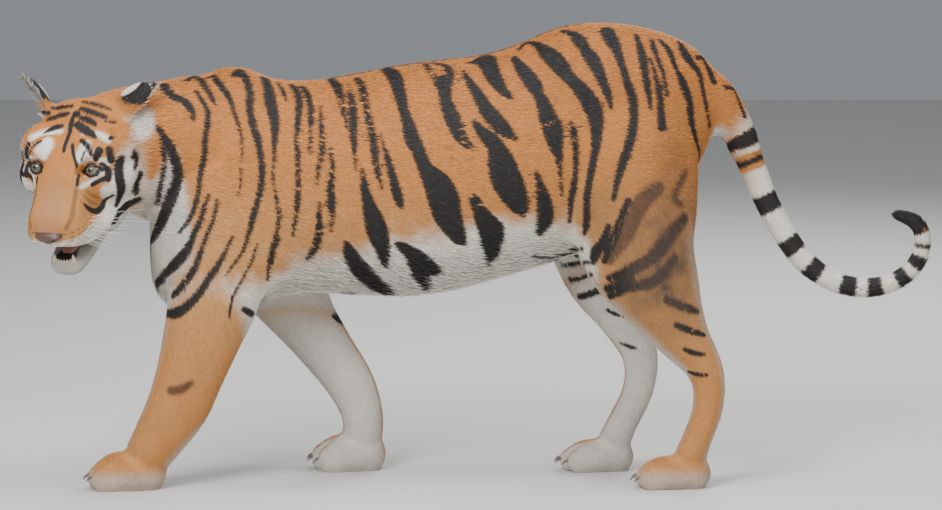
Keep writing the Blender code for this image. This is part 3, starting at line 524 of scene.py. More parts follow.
def body_place(points):
    """For each point: its share in every path, the fur's lie, the number of its nearest path, its distance
    along that path, its angle about it, and the names of the paths.

    A station at distance d with radius r has the weight exp(-1.6 (d / r)^2).
    """
    paths = path_stations()
    places, radii, lies, owner, along = [], [], [], [], []
    for number, rows in enumerate(paths.values()):
        rows = smooth_rows(rows, 5)
        lie = np.gradient(rows[:, :3], axis=0)
        step = np.linalg.norm(lie, axis=1)
        places.append(rows[:, :3])
        radii.append(np.maximum(rows[:, 3], 0.012))
        lies.append(lie / step[:, None])
        owner.append(np.full(len(rows), number))
        along.append(np.cumsum(step))
    places, radii, lies = np.vstack(places), np.concatenate(radii), np.vstack(lies)
    owner, along = np.concatenate(owner), np.concatenate(along)
    share = np.zeros((len(points), len(paths)))
    lie = np.zeros((len(points), 3))
    nearest = np.zeros(len(points), int)
    for start in range(0, len(points), CHUNK):
        part = slice(start, start + CHUNK)
        square = ((points[part][:, None] - places[None]) ** 2).sum(axis=2) / radii ** 2
        nearest[part] = square.argmin(axis=1)
        weight = np.exp(-1.6 * (square - square.min(axis=1)[:, None]))
        lie[part] = weight @ lies
        for number in range(len(paths)):
            share[part, number] = weight[:, owner == number].sum(axis=1)
    share /= share.sum(axis=1)[:, None]
    tangent = lies[nearest]
    offset = points - places[nearest]
    across = np.array([0.0, 1.0, 0.0]) - tangent * tangent[:, 1:2]
    angle = np.arctan2((offset * np.cross(tangent, across)).sum(axis=1), (offset * across).sum(axis=1))
    travelled = along[nearest] + (offset * tangent).sum(axis=1)
    return dict(zip(paths, share.T)), lie, owner[nearest], travelled, angle, list(paths)


def blur(values, faces, rounds):
    """Averages a value held at the points with its neighbours' along the faces' edges."""
    edges = np.vstack([faces[:, [0, 1]], faces[:, [1, 2]], faces[:, [2, 0]]])
    a, b = np.concatenate([edges[:, 0], edges[:, 1]]), np.concatenate([edges[:, 1], edges[:, 0]])
    count = np.bincount(a, minlength=len(values))
    values = np.array(values, float).reshape(len(values), -1)
    for _ in range(rounds):
        total = np.stack([np.bincount(a, column[b], len(values)) for column in values.T], axis=1)
        values = 0.5 * values + 0.5 * total / np.maximum(count, 1)[:, None]
    return values


def point_normals(points, faces):
    """Outward unit normal at each point, from the areas and directions of the faces round it."""
    a, b, c = (points[faces[:, k]] for k in range(3))
    normal = np.cross(b - a, c - a)
    total = np.stack([sum(np.bincount(faces[:, k], normal[:, axis], len(points)) for k in range(3))
                      for axis in range(3)], axis=1)
    return total / np.maximum(np.linalg.norm(total, axis=1), 1e-12)[:, None]


LATTICE = 32                        # the noise repeats after this many steps


def lattice_noise(points, size, seed):
    """Smooth random field between -1 and 1: random values on a cubic lattice, mixed by smoothed distance."""
    table = np.random.default_rng(seed).uniform(-1, 1, (LATTICE,) * 3)
    at = points / size
    base = np.floor(at).astype(int)
    t = at - base
    t = t * t * (3 - 2 * t)
    total = np.zeros(len(points))
    for corner in np.ndindex(2, 2, 2):
        weight = np.where(corner, t, 1 - t).prod(axis=1)
        i = (base + corner) % LATTICE
        total += weight * table[i[:, 0], i[:, 1], i[:, 2]]
    return total


def ramp(value, low, high):
    """0 below low, 1 above high, and smooth between them."""
    t = np.clip((value - low) / (high - low), 0, 1)
    return t * t * (3 - 2 * t)


def bump(points, centre, radii):
    """1 at the centre, falling as exp(-distance^2) with the distance measured in the radii."""
    return np.exp(-(((points - np.asarray(centre)) / np.asarray(radii)) ** 2).sum(axis=1))


# ---------------------------------------------------------------- the markings

CAMERA_AT = np.array([0.0, -11.91055, 1.95954])
CAMERA_TILT = math.radians(83.0)
CAMERA_LENS = 208.66
NO_BAND = 0.03                      # distance given where no band is near
THINNEST = 0.0015                   # least half width of a band

# Dark bands of the side that faces the camera, one to a line, each as its places along it: X, Z and half
# width in millimetres. X and Z are where the line of sight through the place meets the plane Y = 0.
BANDS = """
151 491 4, 195 500 5, 239 511 4
-676 871 10, -658 849 9, -635 839 8, -619 827 7, -611 811 5, -610 797 3
-688 778 4, -672 757 6, -656 727 8, -646 692 10, -646 662 10, -656 628 12, -669 595 13, -683 565 12, -697 537 8, -703 525 4
-681 753 2, -674 720 4, -674 692 4, -679 665 4, -685 637 4, -688 609 3
-603 857 3, -587 834 4, -577 808 5, -578 785 5, -584 753 5, -585 720 5, -590 692 5, -596 660 4, -599 632 4, -605 609 4, -614 586 4, -626 565 3, -642 546 2
-577 628 3, -587 600 4, -593 576 5, -605 551 5, -616 525 6, -628 502 9, -644 484 11, -667 460 9, -685 440 7, -698 421 5
-557 618 3, -561 595 4, -568 572 4, -577 549 4, -587 525 4, -596 498 5, -607 470 6, -621 447 6, -639 423 6, -656 407 5
-619 894 6, -598 885 6, -584 871 5, -570 848 4, -561 829 2
-582 903 7, -566 891 7, -547 869 7, -531 846 6, -522 820 5, -513 792 4, -505 762 3, -502 730 3, -505 692 2, -506 655 2, -513 628 1
-524 539 2, -536 514 3, -547 491 5, -561 467 7, -575 447 7, -591 421 7, -610 398 8, -630 379 9, -651 368 10, -669 368 6
-515 909 10, -501 897 10, -491 878 9, -485 853 9, -486 827 8, -481 795 8, -471 762 8, -464 730 7, -459 692 7, -460 655 7, -467 623 6, -476 590 7, -485 560 6, -492 535 5, -499 511 4, -511 493 3, -527 470 3, -540 451 2
-452 885 11, -444 862 12, -439 832 13, -433 804 11, -430 778 9, -431 748 6, -432 716 4, -434 683 3, -433 651 3, -426 618 4, -422 588 5, -425 558 4, -432 530 4, -440 502 5, -445 474 4, -447 442 3
-471 521 2, -481 488 3, -494 461 3, -515 423 3, -524 405 3, -529 386 3, -533 358 2
-418 539 2, -432 507 3, -437 479 3
-503 378 5, -490 372 7, -475 358 6
-426 877 3, -415 864 4, -409 848 4, -406 837 2
-394 871 6, -382 857 8, -377 830 8, -379 803 7, -381 776 6, -384 753 4, -381 722 5, -380 690 6, -380 655 7, -381 623 7, -384 592 6, -388 565 5, -393 540 3
-372 868 5, -359 852 6, -352 825 7, -351 798 6, -352 771 5, -353 749 4, -354 722 2
-330 825 2, -329 798 4, -328 771 6, -326 744 7, -328 717 6, -334 695 5, -337 672 4, -339 646 2
-308 735 2, -305 704 5, -306 673 7, -308 645 8, -307 614 9, -306 587 7, -308 549 3
-334 612 3, -334 583 6, -333 556 8, -337 529 9, -347 506 8, -361 488 5
-307 883 8, -294 868 10, -288 850 9, -284 830 7, -280 812 5, -276 794 3, -273 776 2
-269 859 3, -262 841 7, -259 816 9, -258 789 9, -258 762 8, -256 735 6, -254 708 4, -253 684 2
-251 886 6, -240 871 8, -235 848 9, -230 821 8, -224 794 8, -218 767 8, -213 740 8, -211 713 8, -207 686 7, -201 661 4, -196 643 2
-198 762 2, -191 735 4, -184 713 6, -178 690 8, -171 664 9, -164 637 10, -157 614 9, -152 601 3
-191 907 10, -173 897 16, -162 875 15, -155 848 13, -148 819 11, -139 789 12, -130 755 17, -118 733 15, -106 700 14, -92 675 20, -73 650 30, -60 620 33, -54 590 30, -40 560 24, -28 538 17, -17 526 8
-239 690 2, -237 670 6, -234 645 9, -226 612 13, -217 585 19, -207 553 23, -199 525 19, -193 497 14, -188 470 4
-276 524 6, -265 500 16, -251 475 22, -228 450 24, -205 430 22, -180 412 14
-165 523 4, -150 514 12, -130 500 18, -110 482 23, -92 466 22, -75 462 10
-125 480 16, -112 455 18, -104 435 12, -101 420 5
5 622 10, 16 600 14, 28 575 21, 45 550 28, 45 525 25, 46 500 16, 40 485 8, 35 475 4
-18 903 3, 2 870 10, 15 850 12, 32 820 16, 48 800 17, 67 780 16, 83 765 11, 98 752 3
-10 942 3, 28 930 20, 35 920 21, 44 900 18, 55 880 16, 68 862 11, 80 850 8, 90 843 3
-64 880 19, -58 860 14, -57 840 14, -50 820 16, -43 800 16, -34 780 15, -24 760 13, -12 745 10, 2 733 4
-101 918 6, -90 902 6, -79 884 6
-86 919 5, -60 914 7, -46 900 8, -50 880 8
8 790 7, 22 770 11, 43 750 17, 57 730 19, 66 700 29, 75 670 33, 85 650 32, 99 620 25, 110 600 15, 113 586 6
94 930 8, 116 900 15, 139 870 17, 148 850 12, 159 830 15, 168 800 19, 177 780 21, 183 750 18, 191 720 10, 193 700 7, 196 670 4, 198 630 3
100 965 5, 140 962 8, 168 940 18, 189 920 19, 205 900 16, 222 880 13, 241 860 17, 262 830 19, 273 800 17, 275 770 13, 274 740 10, 267 700 8, 261 670 8, 255 630 8, 254 600 8, 254 570 9, 249 545 5
219 790 3, 225 770 7, 228 740 7, 230 700 6, 228 670 6, 223 640 8, 219 610 6, 217 570 4
142 680 5, 151 650 10, 159 620 16, 163 600 17, 160 570 18, 152 550 12
200 990 6, 225 982 10, 236 970 16, 248 950 12, 264 930 16, 279 900 12, 292 870 10, 300 850 8, 306 822 4
297 990 16, 307 970 17, 317 950 12, 325 930 9, 335 900 8, 344 870 9, 352 850 10, 356 820 10, 356 800 10, 353 770 10, 346 740 10, 336 710 10, 326 680 8, 318 650 6, 312 620 4
361 980 6, 370 950 9, 375 930 10, 380 900 8, 385 870 8, 389 850 6, 393 820 4
395 970 5, 400 950 7, 411 920 5, 419 900 5, 425 870 4, 430 850 3
391 930 3, 402 900 4, 408 870 6, 413 850 7, 415 820 8, 418 780 10
412 970 5, 431 950 7, 443 920 6, 452 900 8, 465 870 11, 473 850 10, 479 830 9, 481 800 9, 487 770 7, 495 740 6, 505 700 5
455 965 6, 468 940 13, 481 920 10, 497 900 8, 505 870 6, 515 820 5, 522 780 4
500 945 6, 512 920 8, 522 900 10, 530 880 8
567 880 5, 582 845 6, 598 805 5
-305 362 4, -290 355 12, -272 345 12, -262 333 6
430 398 4, 455 388 6, 480 378 6, 498 372 3
452 342 4, 476 332 6, 500 324 5, 514 320 3
301 560 6, 291 530 8, 272 500 12, 268 480 6
345 618 5, 332 587 6, 323 560 7, 310 528 8, 299 501 7, 292 483 4
466 578 4, 444 550 6, 421 519 8, 403 496 9, 368 474 10, 332 456 9, 305 447 7
448 492 3, 430 468 5, 412 447 8, 386 433 9, 341 425 9, 305 406 7
130 497 6, 170 493 6, 215 502 6, 245 512 5
150 477 5, 200 474 5, 235 480 5, 260 482 4
200 437 5, 235 445 5, 265 455 5
240 405 8, 280 418 8, 320 430 8, 350 445 7
470 288 3, 490 280 5, 512 277 4
480 238 3, 500 232 4, 520 231 3
300 376 3, 318 366 4, 335 362 3
330 302 3, 350 294 4, 362 291 3
"""
# Bands of the far side, seen the same way from behind.
FAR_BANDS = """
385 600 8, 340 560 9, 300 520 8
380 540 6, 335 505 8, 290 480 6
350 450 5, 310 432 7, 270 425 5
350 385 4, 322 372 6, 300 368 4
375 318 4, 352 308 5, 335 305 3
385 250 3, 365 242 4, 352 240 3
-470 360 4, -430 350 6, -400 345 3
-400 270 3, -360 262 5, -335 258 3
-330 200 3, -300 195 4, -282 194 2
"""
# Softer brown bands of the haunch and thigh, in the same terms.
BROWN_BANDS = """
466 578 12, 444 550 14, 421 519 14, 403 496 12
408 645 16, 377 618 18, 359 587 18, 341 550 18, 323 519 16, 305 487 9
470 681 7, 457 654 7, 444 622 7, 461 609 5
-660 196 9, -640 200 9, -618 212 7
"""
# Dark marks of the face. The paired ones are made on the other half of the head as well.
FACE_PAIRED = """
-794 730 7, -790 708 7
-810 697 5, -796 683 6, -797 665 5
-768 709 8, -773 688 9, -771 665 9, -768 641 9, -773 623 7, -780 607 4
-743 720 9, -736 706 10, -741 688 6
-727 674 8, -738 655 12, -736 637 8
-732 620 8, -750 611 10, -764 600 8, -773 590 5
-773 593 6, -780 576 6, -787 567 5
-787 630 3, -805 618 5, -810 604 6, -824 593 6, -840 600 4, -849 609 2
-831 653 5, -814 662 5, -803 667 4
-860 674 3, -863 663 3, -865 651 2
"""
FACE_LEFT = """
-854 750 5, -842 739 5, -833 720 4
-847 725 2, -854 706 2
-815 728 8, -823 710 6
-865 808 8, -864 807 8
-854 820 5, -828 811 7, -801 801 4
-849 834 4, -824 829 5, -791 818 3
-854 799 5, -837 795 7, -824 785 4
-863 785 7, -849 774 10, -833 764 9, -824 755 4
-801 792 2, -780 788 2
-791 755 5, -790 754 5
-872 801 4, -877 785 5, -879 767 4
-879 767 4, -890 739 3, -893 725 3
-874 743 3, -872 720 3, -867 702 3, -865 692 3
-874 825 4, -897 822 6, -918 820 4
-884 808 5, -902 804 6, -927 795 3
-897 781 5, -916 776 7, -934 767 3
-872 839 4, -900 841 4
-940 811 4, -925 811 4
-943 748 3, -962 734 3, -969 711 3
-985 730 3, -989 702 3, -982 674 3
"""
FACE_WHITE = """
-849 652 4, -828 661 5, -812 674 5, -808 685 4
-856 712 13, -850 735 15, -845 745 12
-847 767 9, -814 762 9, -794 748 8
-939 734 12, -948 728 10
-748 802 10, -722 790 15, -700 768 14
-800 640 14, -775 570 20, -740 580 22, -715 620 26, -700 650 24, -705 690 16
"""
# Softer brown lines of the face, and the orange patch of the neck behind the cheek.
FACE_BROWN = """
-864 649 5, -872 611 5, -877 581 5, -889 556 4
-846 640 2, -830 628 3, -812 622 2
-852 630 2, -836 615 3, -818 608 2
-858 618 2, -846 603 2, -832 584 2
"""
NECK_ORANGE = """
-708 775 20, -700 735 24, -698 700 20, -702 676 12
"""
# Rings of the tail: X, Z and half width in millimetres, and where its dark tip begins, in metres.
DARK_TIP = (0.988, 0.552)
TAIL_RINGS = [(553, 821, 12), (591, 755, 13), (619, 711, 12), (668, 618, 17), (707, 530, 18), (762, 470, 20),
              (833, 426, 20), (893, 420, 16), (950, 434, 13), (990, 480, 15), (997, 520, 5)]


def band_rows(text):
    """The lines of a table of bands as arrays in metres."""
    return [np.array([[float(v) for v in place.split()] for place in line.split(",")]) / 1000
            for line in text.strip().splitlines()]


def laid(tree, table, front=1):
    """The bands of a table dropped onto the skin along lines from the camera's place, or with front -1
    from its mirror image behind: for each band, rows of point and half width.
    """
    eye = Vector(CAMERA_AT * (1, front, 1))
    bands = []
    for rows in band_rows(table):
        rows = smooth_rows(rows, 2) if len(rows) > 2 else rows
        found = []
        for x, z, half_width in rows:
            aim = Vector((x, 0.0, z)) - eye
            hit = tree.ray_cast(eye, aim.normalized())[0]
            if hit is None:
                hit = tree.find_nearest(Vector((x, -0.05 * front, z)))[0]
            found.append((*hit, max(half_width, THINNEST)))
        bands.append(np.array(found))
    return bands


def mirrored(tree, bands, head=False):
    """The bands on the other side of the body, or of the head, laid on the skin again."""
    result = []
    for rows in bands:
        points = (to_head(rows[:, :3]) if head else rows[:, :3]) * (1, -1, 1)
        points = from_head(points) if head else points
        places = [tuple(tree.find_nearest(Vector(point))[0]) for point in points]
        result.append(np.column_stack([np.array(places), rows[:, 3]]))
    return result


def segments_of(bands):
    """Every straight piece of the bands: both ends with their half widths."""
    return np.vstack([np.hstack([rows[:-1], rows[1:]]) for rows in bands])


def band_distance(points, segments):
    """Signed distance to the nearest band's edge, below 0 inside it, and NO_BAND where none is near.

    A point's distance to a straight piece is |p - (a + t (b - a))| - w(t), with t the foot's place. The
    points are taken in cubes of space, so that each cube meets only the pieces near it.
    """
    cell = 0.05
    keys = np.floor(points / cell).astype(int)
    _, inverse = np.unique(keys, axis=0, return_inverse=True)
    order = np.argsort(inverse, kind="stable")
    groups = np.split(order, np.flatnonzero(np.diff(inverse[order])) + 1)
    a, b = segments[:, :3], segments[:, 4:7]
    wide = np.maximum(segments[:, 3], segments[:, 7])
    middle, half = (a + b) / 2, np.linalg.norm(b - a, axis=1) / 2 + wide
    result = np.full(len(points), NO_BAND)
    for group in groups:
        here = points[group]
        centre = (here.min(axis=0) + here.max(axis=0)) / 2
        size = np.linalg.norm(here.max(axis=0) - here.min(axis=0)) / 2
        near = np.linalg.norm(middle - centre, axis=1) < size + half + NO_BAND
        if not near.any():
            continue
        start, line = a[near], (b - a)[near]
        offset = here[:, None] - start
        t = np.clip((offset * line).sum(axis=2) / np.maximum((line ** 2).sum(axis=1), 1e-12), 0, 1)
        away = np.linalg.norm(offset - t[..., None] * line, axis=2)
        width = segments[near, 3] + t * (segments[near, 7] - segments[near, 3])
        result[group] = np.minimum((away - width).min(axis=1), NO_BAND)
    return result


def make_bands(tree):
    """Every kind of band laid on the skin, as straight pieces."""
    bands, brown, white = laid(tree, BANDS), laid(tree, BROWN_BANDS), laid(tree, FACE_WHITE)
    paired, soft = laid(tree, FACE_PAIRED), laid(tree, FACE_BROWN)
    # the bands above the belly are made on the far side as well, bent a little differently
    far = mirrored(tree, [rows for rows in bands if rows[:, 2].min() > 0.34 and rows[0, 0] < 0.53])
    for rows in far:
        rows[:, 0] += 0.008 * np.sin(rows[:, 2] * 23 + rows[0, 0] * 40)
    kinds = {
        "dark": bands + far + laid(tree, FAR_BANDS, -1),
        "brown": brown + mirrored(tree, brown[:3]),
        "face": paired + mirrored(tree, paired, True) + laid(tree, FACE_LEFT),
        "face_brown": soft + mirrored(tree, soft, True),
        "face_white": white + mirrored(tree, white, True),
        "neck_orange": laid(tree, NECK_ORANGE),
    }
    return {kind: segments_of(lines) for kind, lines in kinds.items()}


ORANGE = np.array([0.515, 0.198, 0.046])
DEEP_ORANGE = np.array([0.43, 0.148, 0.032])
TAN = np.array([0.54, 0.285, 0.108])
WHITE = np.array([0.78, 0.735, 0.655])
DARK = np.array([0.020, 0.017, 0.016])
BROWN = np.array([0.085, 0.040, 0.020])
PINK = np.array([0.46, 0.210, 0.112])
THIGH_BAND = np.array([0.060, 0.038, 0.030])
# Darker places of the haunch, thigh and lower flank: middle (X, Z), radii, colour and strength. The first is the
# haunch's own brown, the second the thigh's brown with painted shade, the third painted shade on the lower flank.
BROWN_AND_PAINTED_SHADE = [
    ((0.44, 0.73), (0.045, 0.10), (0.085, 0.040, 0.020), 0.42),
    ((0.42, 0.50), (0.110, 0.16), (0.066, 0.044, 0.033), 0.98),
    ((0.27, 0.61), (0.060, 0.07), (0.220, 0.120, 0.045), 0.45),
]
# The edge of the pale underside as (X, Z), and that of the pale chest as (Z, X).
WHITE_LINE = [(-0.45, 0.46), (-0.40, 0.49), (-0.30, 0.52), (-0.20, 0.55), (-0.10, 0.56), (-0.02, 0.58),
              (0.05, 0.60), (0.12, 0.60), (0.20, 0.58), (0.25, 0.55), (0.28, 0.50), (0.34, 0.44)]
CHEST_LINE = [(0.37, -0.640), (0.42, -0.620), (0.50, -0.600), (0.55, -0.600), (0.65, -0.612), (0.75, -0.632),
              (0.82, -0.66)]


def mix(a, b, share):
    """Colour a moved towards colour b by the share of each point."""
    return a + (b - a) * np.clip(share, 0, 1)[:, None]


THIGH_AT = (0.43, 0.50)             # middle of the near thigh's brown bands (X, Z), and its radii
THIGH_SIZE = (0.10, 0.13)
FAN_AT = (-0.709, 0.806)            # the pale fan of long hair behind the near cheek
FAN_SIZE = (0.030, 0.040)
SPECKS_AT = (0.02, 0.78)            # small brown specks between the bands of the flank
SPECKS_SIZE = (0.20, 0.10)
BAND_EXTRA = 0.0012                 # all bands are this much wider than their tables say


def head_and_legs(share):
    """The share that the head has in each point, and that of the four legs together."""
    return share["skull"] + share["jaw"], sum(share[name] for name in LEGS)


def pale_places(points, normals, share, bands, wobble):
    """How pale each point is, on the underside, the chest and the legs, and its share of the underside."""
    x, y, z = points.T
    head, legs = head_and_legs(share)
    line = np.interp(x, *np.array(WHITE_LINE).T)
    trunk = np.clip(share["trunk"] + share["neck"] * 0.5, 0, 1)
    below = ramp(line - z + 0.034 * wobble, -0.030, 0.040) * ramp(trunk, 0.3, 0.6)
    front = ramp(np.interp(z, *np.array(CHEST_LINE).T) - x + 0.012 * wobble, -0.010, 0.016)
    front *= (1 - ramp(z, 0.70, 0.77)) * (1 - head) * (1 - ramp(legs, 0.15, 0.5))
    forwards = ramp(-normals[:, 2] - 0.5 * normals[:, 0] + 0.1 * wobble, 0.30, 0.75)
    front *= 1 - ramp(y, -0.02, 0.05) * (1 - forwards)
    front *= ramp(band_distance(points, bands["neck_orange"]) + 0.006 * wobble, -0.004, 0.008)
    under = ramp(-normals[:, 2], 0.35, 0.75) * (1 - head) * (1 - share["tail"])
    white = np.maximum.reduce([below, front, under])
    # insides and fronts of the legs, the backs of the hind legs, and the toes
    for name in LEGS:
        side = -1 if name.startswith("left") else 1
        inner = ramp(-normals[:, 1] * side + 0.10 * wobble, 0.10, 0.50)
        rear = ramp(normals[:, 0], 0.55, 0.95) * (0.5 if "hind" in name else 0.0)
        pale_front = ramp(-normals[:, 0], 0.70, 1.0) * 0.35
        toes = 0.65 * (1 - ramp(z, 0.020, 0.055))
        kind = np.maximum.reduce([inner, rear, pale_front, toes])
        white = np.maximum(white, kind * ramp(share[name], 0.3, 0.8))
    return white, under


def markings(points, normals, share, bands):
    """Coat colour of each point, painted shade included, and the signed distance to the edge of its dark bands and of
    the painted shade inside the mouth.

    The colours are laid over each other, each by its own share, and the wobble, which is noise in steps
    of 35 and 14 mm, makes every edge ragged.
    """
    x, y, z = points.T
    flat = points[:, [0, 2]]
    wobble = lattice_noise(points, 0.035, 3) * 0.5 + lattice_noise(points, 0.014, 4) * 0.3
    head, legs = head_and_legs(share)
    colour = np.tile(ORANGE, (len(points), 1))
    colour = mix(colour, DEEP_ORANGE, ramp(z, 0.72, 0.95) * (0.75 + 0.3 * wobble))
    tan = 0.8 - 0.35 * (1 - ramp(z, 0.22, 0.42))
    colour = mix(colour, TAN, tan * (1 - ramp(z, 0.50, 0.74)) * (0.8 + 0.5 * wobble))
    white, under = pale_places(points, normals, share, bands, wobble)
    # the tail is pale between its dark rings
    tail = ramp(share["tail"], 0.12, 0.35) * ramp(x, 0.535, 0.555)
    ring = ring_distance(points)
    white = np.maximum(white, tail * ramp(ring, 0.001, 0.004) * (0.65 + 0.35 * ramp(x, 0.58, 0.66)))
    # painted shade: grey darkens the white of the legs, the front of the chest and the underside
    grey = np.clip(legs + ramp(-0.56 - x, 0.0, 0.05) * (1 - head) + 0.6 * under, 0, 1)
    colour = mix(colour, WHITE * (0.95 - 0.20 * grey + 0.05 * wobble)[:, None], white)
    # dark bands, a little wider still on the neck
    dark = band_distance(points, bands["dark"]) + 0.0012 * wobble - BAND_EXTRA
    dark -= 0.0016 * (1 - ramp(x, -0.62, -0.52))
    dark = np.where(head + share["ear1"] + share["ear-1"] > 0.5, NO_BAND, dark)
    dark = np.where(tail > 0.5, np.minimum(ring + 0.003 * wobble, dark), dark)
    thigh = bump(flat, THIGH_AT, THIGH_SIZE) * (y < 0)
    dark = dark - 0.0045 * thigh
    brown = band_distance(points, bands["brown"]) - 0.004 * thigh + 0.004 * wobble
    colour = mix(colour, BROWN, 0.90 * (1 - ramp(brown, -0.004, 0.006)) * (1 - head))
    fan = bump(flat, FAN_AT, FAN_SIZE) * (y < -0.05) * (1 - share["ear1"])
    colour = mix(colour, WHITE * 0.80, 0.95 * ramp(fan + 0.12 * wobble, 0.25, 0.65))
    speck = ramp(lattice_noise(points, 0.013, 9), 0.50, 0.72)
    speck *= bump(flat, SPECKS_AT, SPECKS_SIZE)
    colour = mix(colour, BROWN, 0.45 * speck)
    # the haunch's brown, and painted shade on the thigh and the lower flank
    for centre, radii, shade, strength in BROWN_AND_PAINTED_SHADE:
        near = bump(flat, centre, radii)
        colour = mix(colour, np.array(shade), strength * near * (0.85 + 0.6 * wobble) * (1 - white))
    # the bands of the near thigh are brown
    soft = ramp(thigh, 0.20, 0.60)
    band = mix(np.tile(DARK, (len(points), 1)), THIGH_BAND, soft)
    colour = np.where((soft > 0)[:, None], mix(colour, band, 1 - ramp(dark, -0.0015, 0.0020)), colour)
    dark = np.where(soft > 0, NO_BAND, dark)
    # the dark line along the back
    spine = np.abs(y) - 0.007 - 0.006 * wobble
    spine = np.where((x > -0.32) & (x < 0.24) & (normals[:, 2] > 0.5), spine, NO_BAND)
    dark = np.minimum(dark, spine)
    face_colour, face_dark = face_markings(points, bands, wobble)
    colour = mix(colour, face_colour, ramp(head, 0.30, 0.65))
    dark = np.where(head > 0.1, np.minimum(face_dark, dark), dark)
    for side in (1, -1):
        colour, dark = ear_markings(points, normals, share, side, colour, dark)
    return colour, dark


def ring_distance(points):
    """Signed distance along the tail to the nearest dark ring's edge; the tip past the last one is dark."""
    path = smooth_rows(TAIL, 6)
    step = np.concatenate([[0], np.cumsum(np.linalg.norm(np.diff(path[:, :3], axis=0), axis=1))])
    flat = path[:, [0, 2]]
    at = [step[((flat - np.array([x, z]) / 1000) ** 2).sum(axis=1).argmin()] for x, z, _ in TAIL_RINGS]
    result = np.full(len(points), NO_BAND)
    near = points[:, 0] > 0.5
    part = points[near][:, [0, 2]]
    place = step[((part[:, None] - flat) ** 2).sum(axis=2).argmin(axis=1)]
    distance = np.min([np.abs(place - s) - w / 1000 for s, (_, _, w) in zip(at, TAIL_RINGS)], axis=0)
    tip = step[((flat - np.array(DARK_TIP)) ** 2).sum(axis=1).argmin()]
    result[near] = np.minimum(distance, tip - place)
    return result


SPOT_ROWS = 0.0095                  # between the rows of whisker spots, and between the spots of a row
SPOT_STEP = 0.0115
SPOT_RADIUS = 0.0012
SPOT_HALF_LENGTH = 0.0022
LIP_GAP = 0.0012                    # half the dark line down the middle of the upper lip


def face_markings(points, bands, wobble):
    """Colour and dark distance over the head, from its own axes and the marks laid on it.

    f runs along the muzzle, u towards the crown, and side is the distance from the head's middle.
    """
    f, l, u = to_head(points).T
    side = np.abs(l)
    colour = mix(np.tile(ORANGE, (len(points), 1)), TAN, ramp(f, 0.0, 0.06) * 0.5)
    bridge = ramp(f, 0.030, 0.085) * (1 - ramp(side, 0.020, 0.036)) * ramp(u, -0.10, -0.07)
    colour = mix(colour, PINK, 0.55 * bridge)
    cheek = ramp(side - 0.35 * (u + 0.04) + 0.008 * wobble, 0.088, 0.106) * (1 - ramp(u, -0.02, 0.03))
    jaw = 1 - ramp(u + 0.012 * wobble - 0.30 * side, -0.150, -0.125)
    pads = ramp(f, 0.010, 0.040) * ramp(side, 0.012, 0.024) * (1 - ramp(u + 0.006 * wobble, -0.110, -0.088))
    muzzle = ramp(f, 0.055, 0.085) * (1 - ramp(u, -0.100, -0.086))
    white = np.maximum.reduce([cheek, jaw, pads, muzzle])
    spots = band_distance(points, bands["face_white"]) + 0.007 * wobble
    white = np.maximum(white, 1 - ramp(spots, -0.006, 0.006))
    # a pale ring outside the lids, open towards the nose
    eye = np.hypot((side - EYE_APART) / LID_HALF_WIDTH, (u + 0.001) / 0.0120)
    ring = ramp(eye, 1.15, 1.30) * (1 - ramp(eye + 0.25 * wobble, 1.55, 1.85)) * ramp(side, 0.047, 0.056)
    white = np.maximum(white, ring)
    # painted shade: the white below the mouth is darker
    painted_jaw_shade = 1 - ramp(u, -0.150, -0.125)
    colour = mix(colour, WHITE * (1 - 0.42 * painted_jaw_shade)[:, None], white)
    lines = band_distance(points, bands["face_brown"]) + 0.002 * wobble
    colour = mix(colour, BROWN, 0.55 * (1 - ramp(lines, -0.003, 0.003)))
    bold = 0.0008 + 0.0006 * ramp(u, 0.020, 0.040) + 0.0014 * ramp(side, 0.085, 0.100)
    dark = band_distance(points, bands["face"]) + 0.0009 * wobble - bold
    # rows of brown whisker spots
    row = (u + 0.078 + 0.10 * (0.11 - f)) / SPOT_ROWS
    place = (f + 0.004 * np.round(row)) / SPOT_STEP
    gap = np.maximum(np.abs(place - np.round(place)) * SPOT_STEP - SPOT_HALF_LENGTH, 0)
    spot = np.hypot((row - np.round(row)) * SPOT_ROWS, gap) - SPOT_RADIUS
    on_pad = (f > 0.055) & (f < 0.128) & (side > 0.022) & (u < -0.075) & (u > -0.122)
    spot = np.where(on_pad, spot, NO_BAND)
    colour = mix(colour, BROWN, 0.75 * (1 - ramp(spot, -0.0005, 0.0012)))
    split = np.where((f > 0.10) & (u < -0.088) & (u > -0.125), side - LIP_GAP, NO_BAND)
    dark = np.minimum(dark, split)
    # dark lips, broader below the mouth, and painted shade over the walls inside the mouth
    middle = np.interp(f, *np.array(MOUTH_AIR)[:, :2].T)
    lips_and_mouth_shade = np.where(u > middle, -0.0012, -0.0045) - mouth_depth(points)
    return colour, np.minimum(dark, lips_and_mouth_shade)


def mouth_depth(points):
    """How far a point of the head lies inside the wedge of the mouth, below 0 outside it."""
    f, l, u = to_head(points).T
    rows = np.array(MOUTH_AIR)
    middle, over, under = (np.interp(f, rows[:, 0], rows[:, k]) for k in (1, 2, 3))
    inside = np.where(u > middle, over - (u - middle), under - (middle - u))
    return np.where((f > 0.024) & (f < 0.16) & (np.abs(l) < 0.075), inside, -NO_BAND)


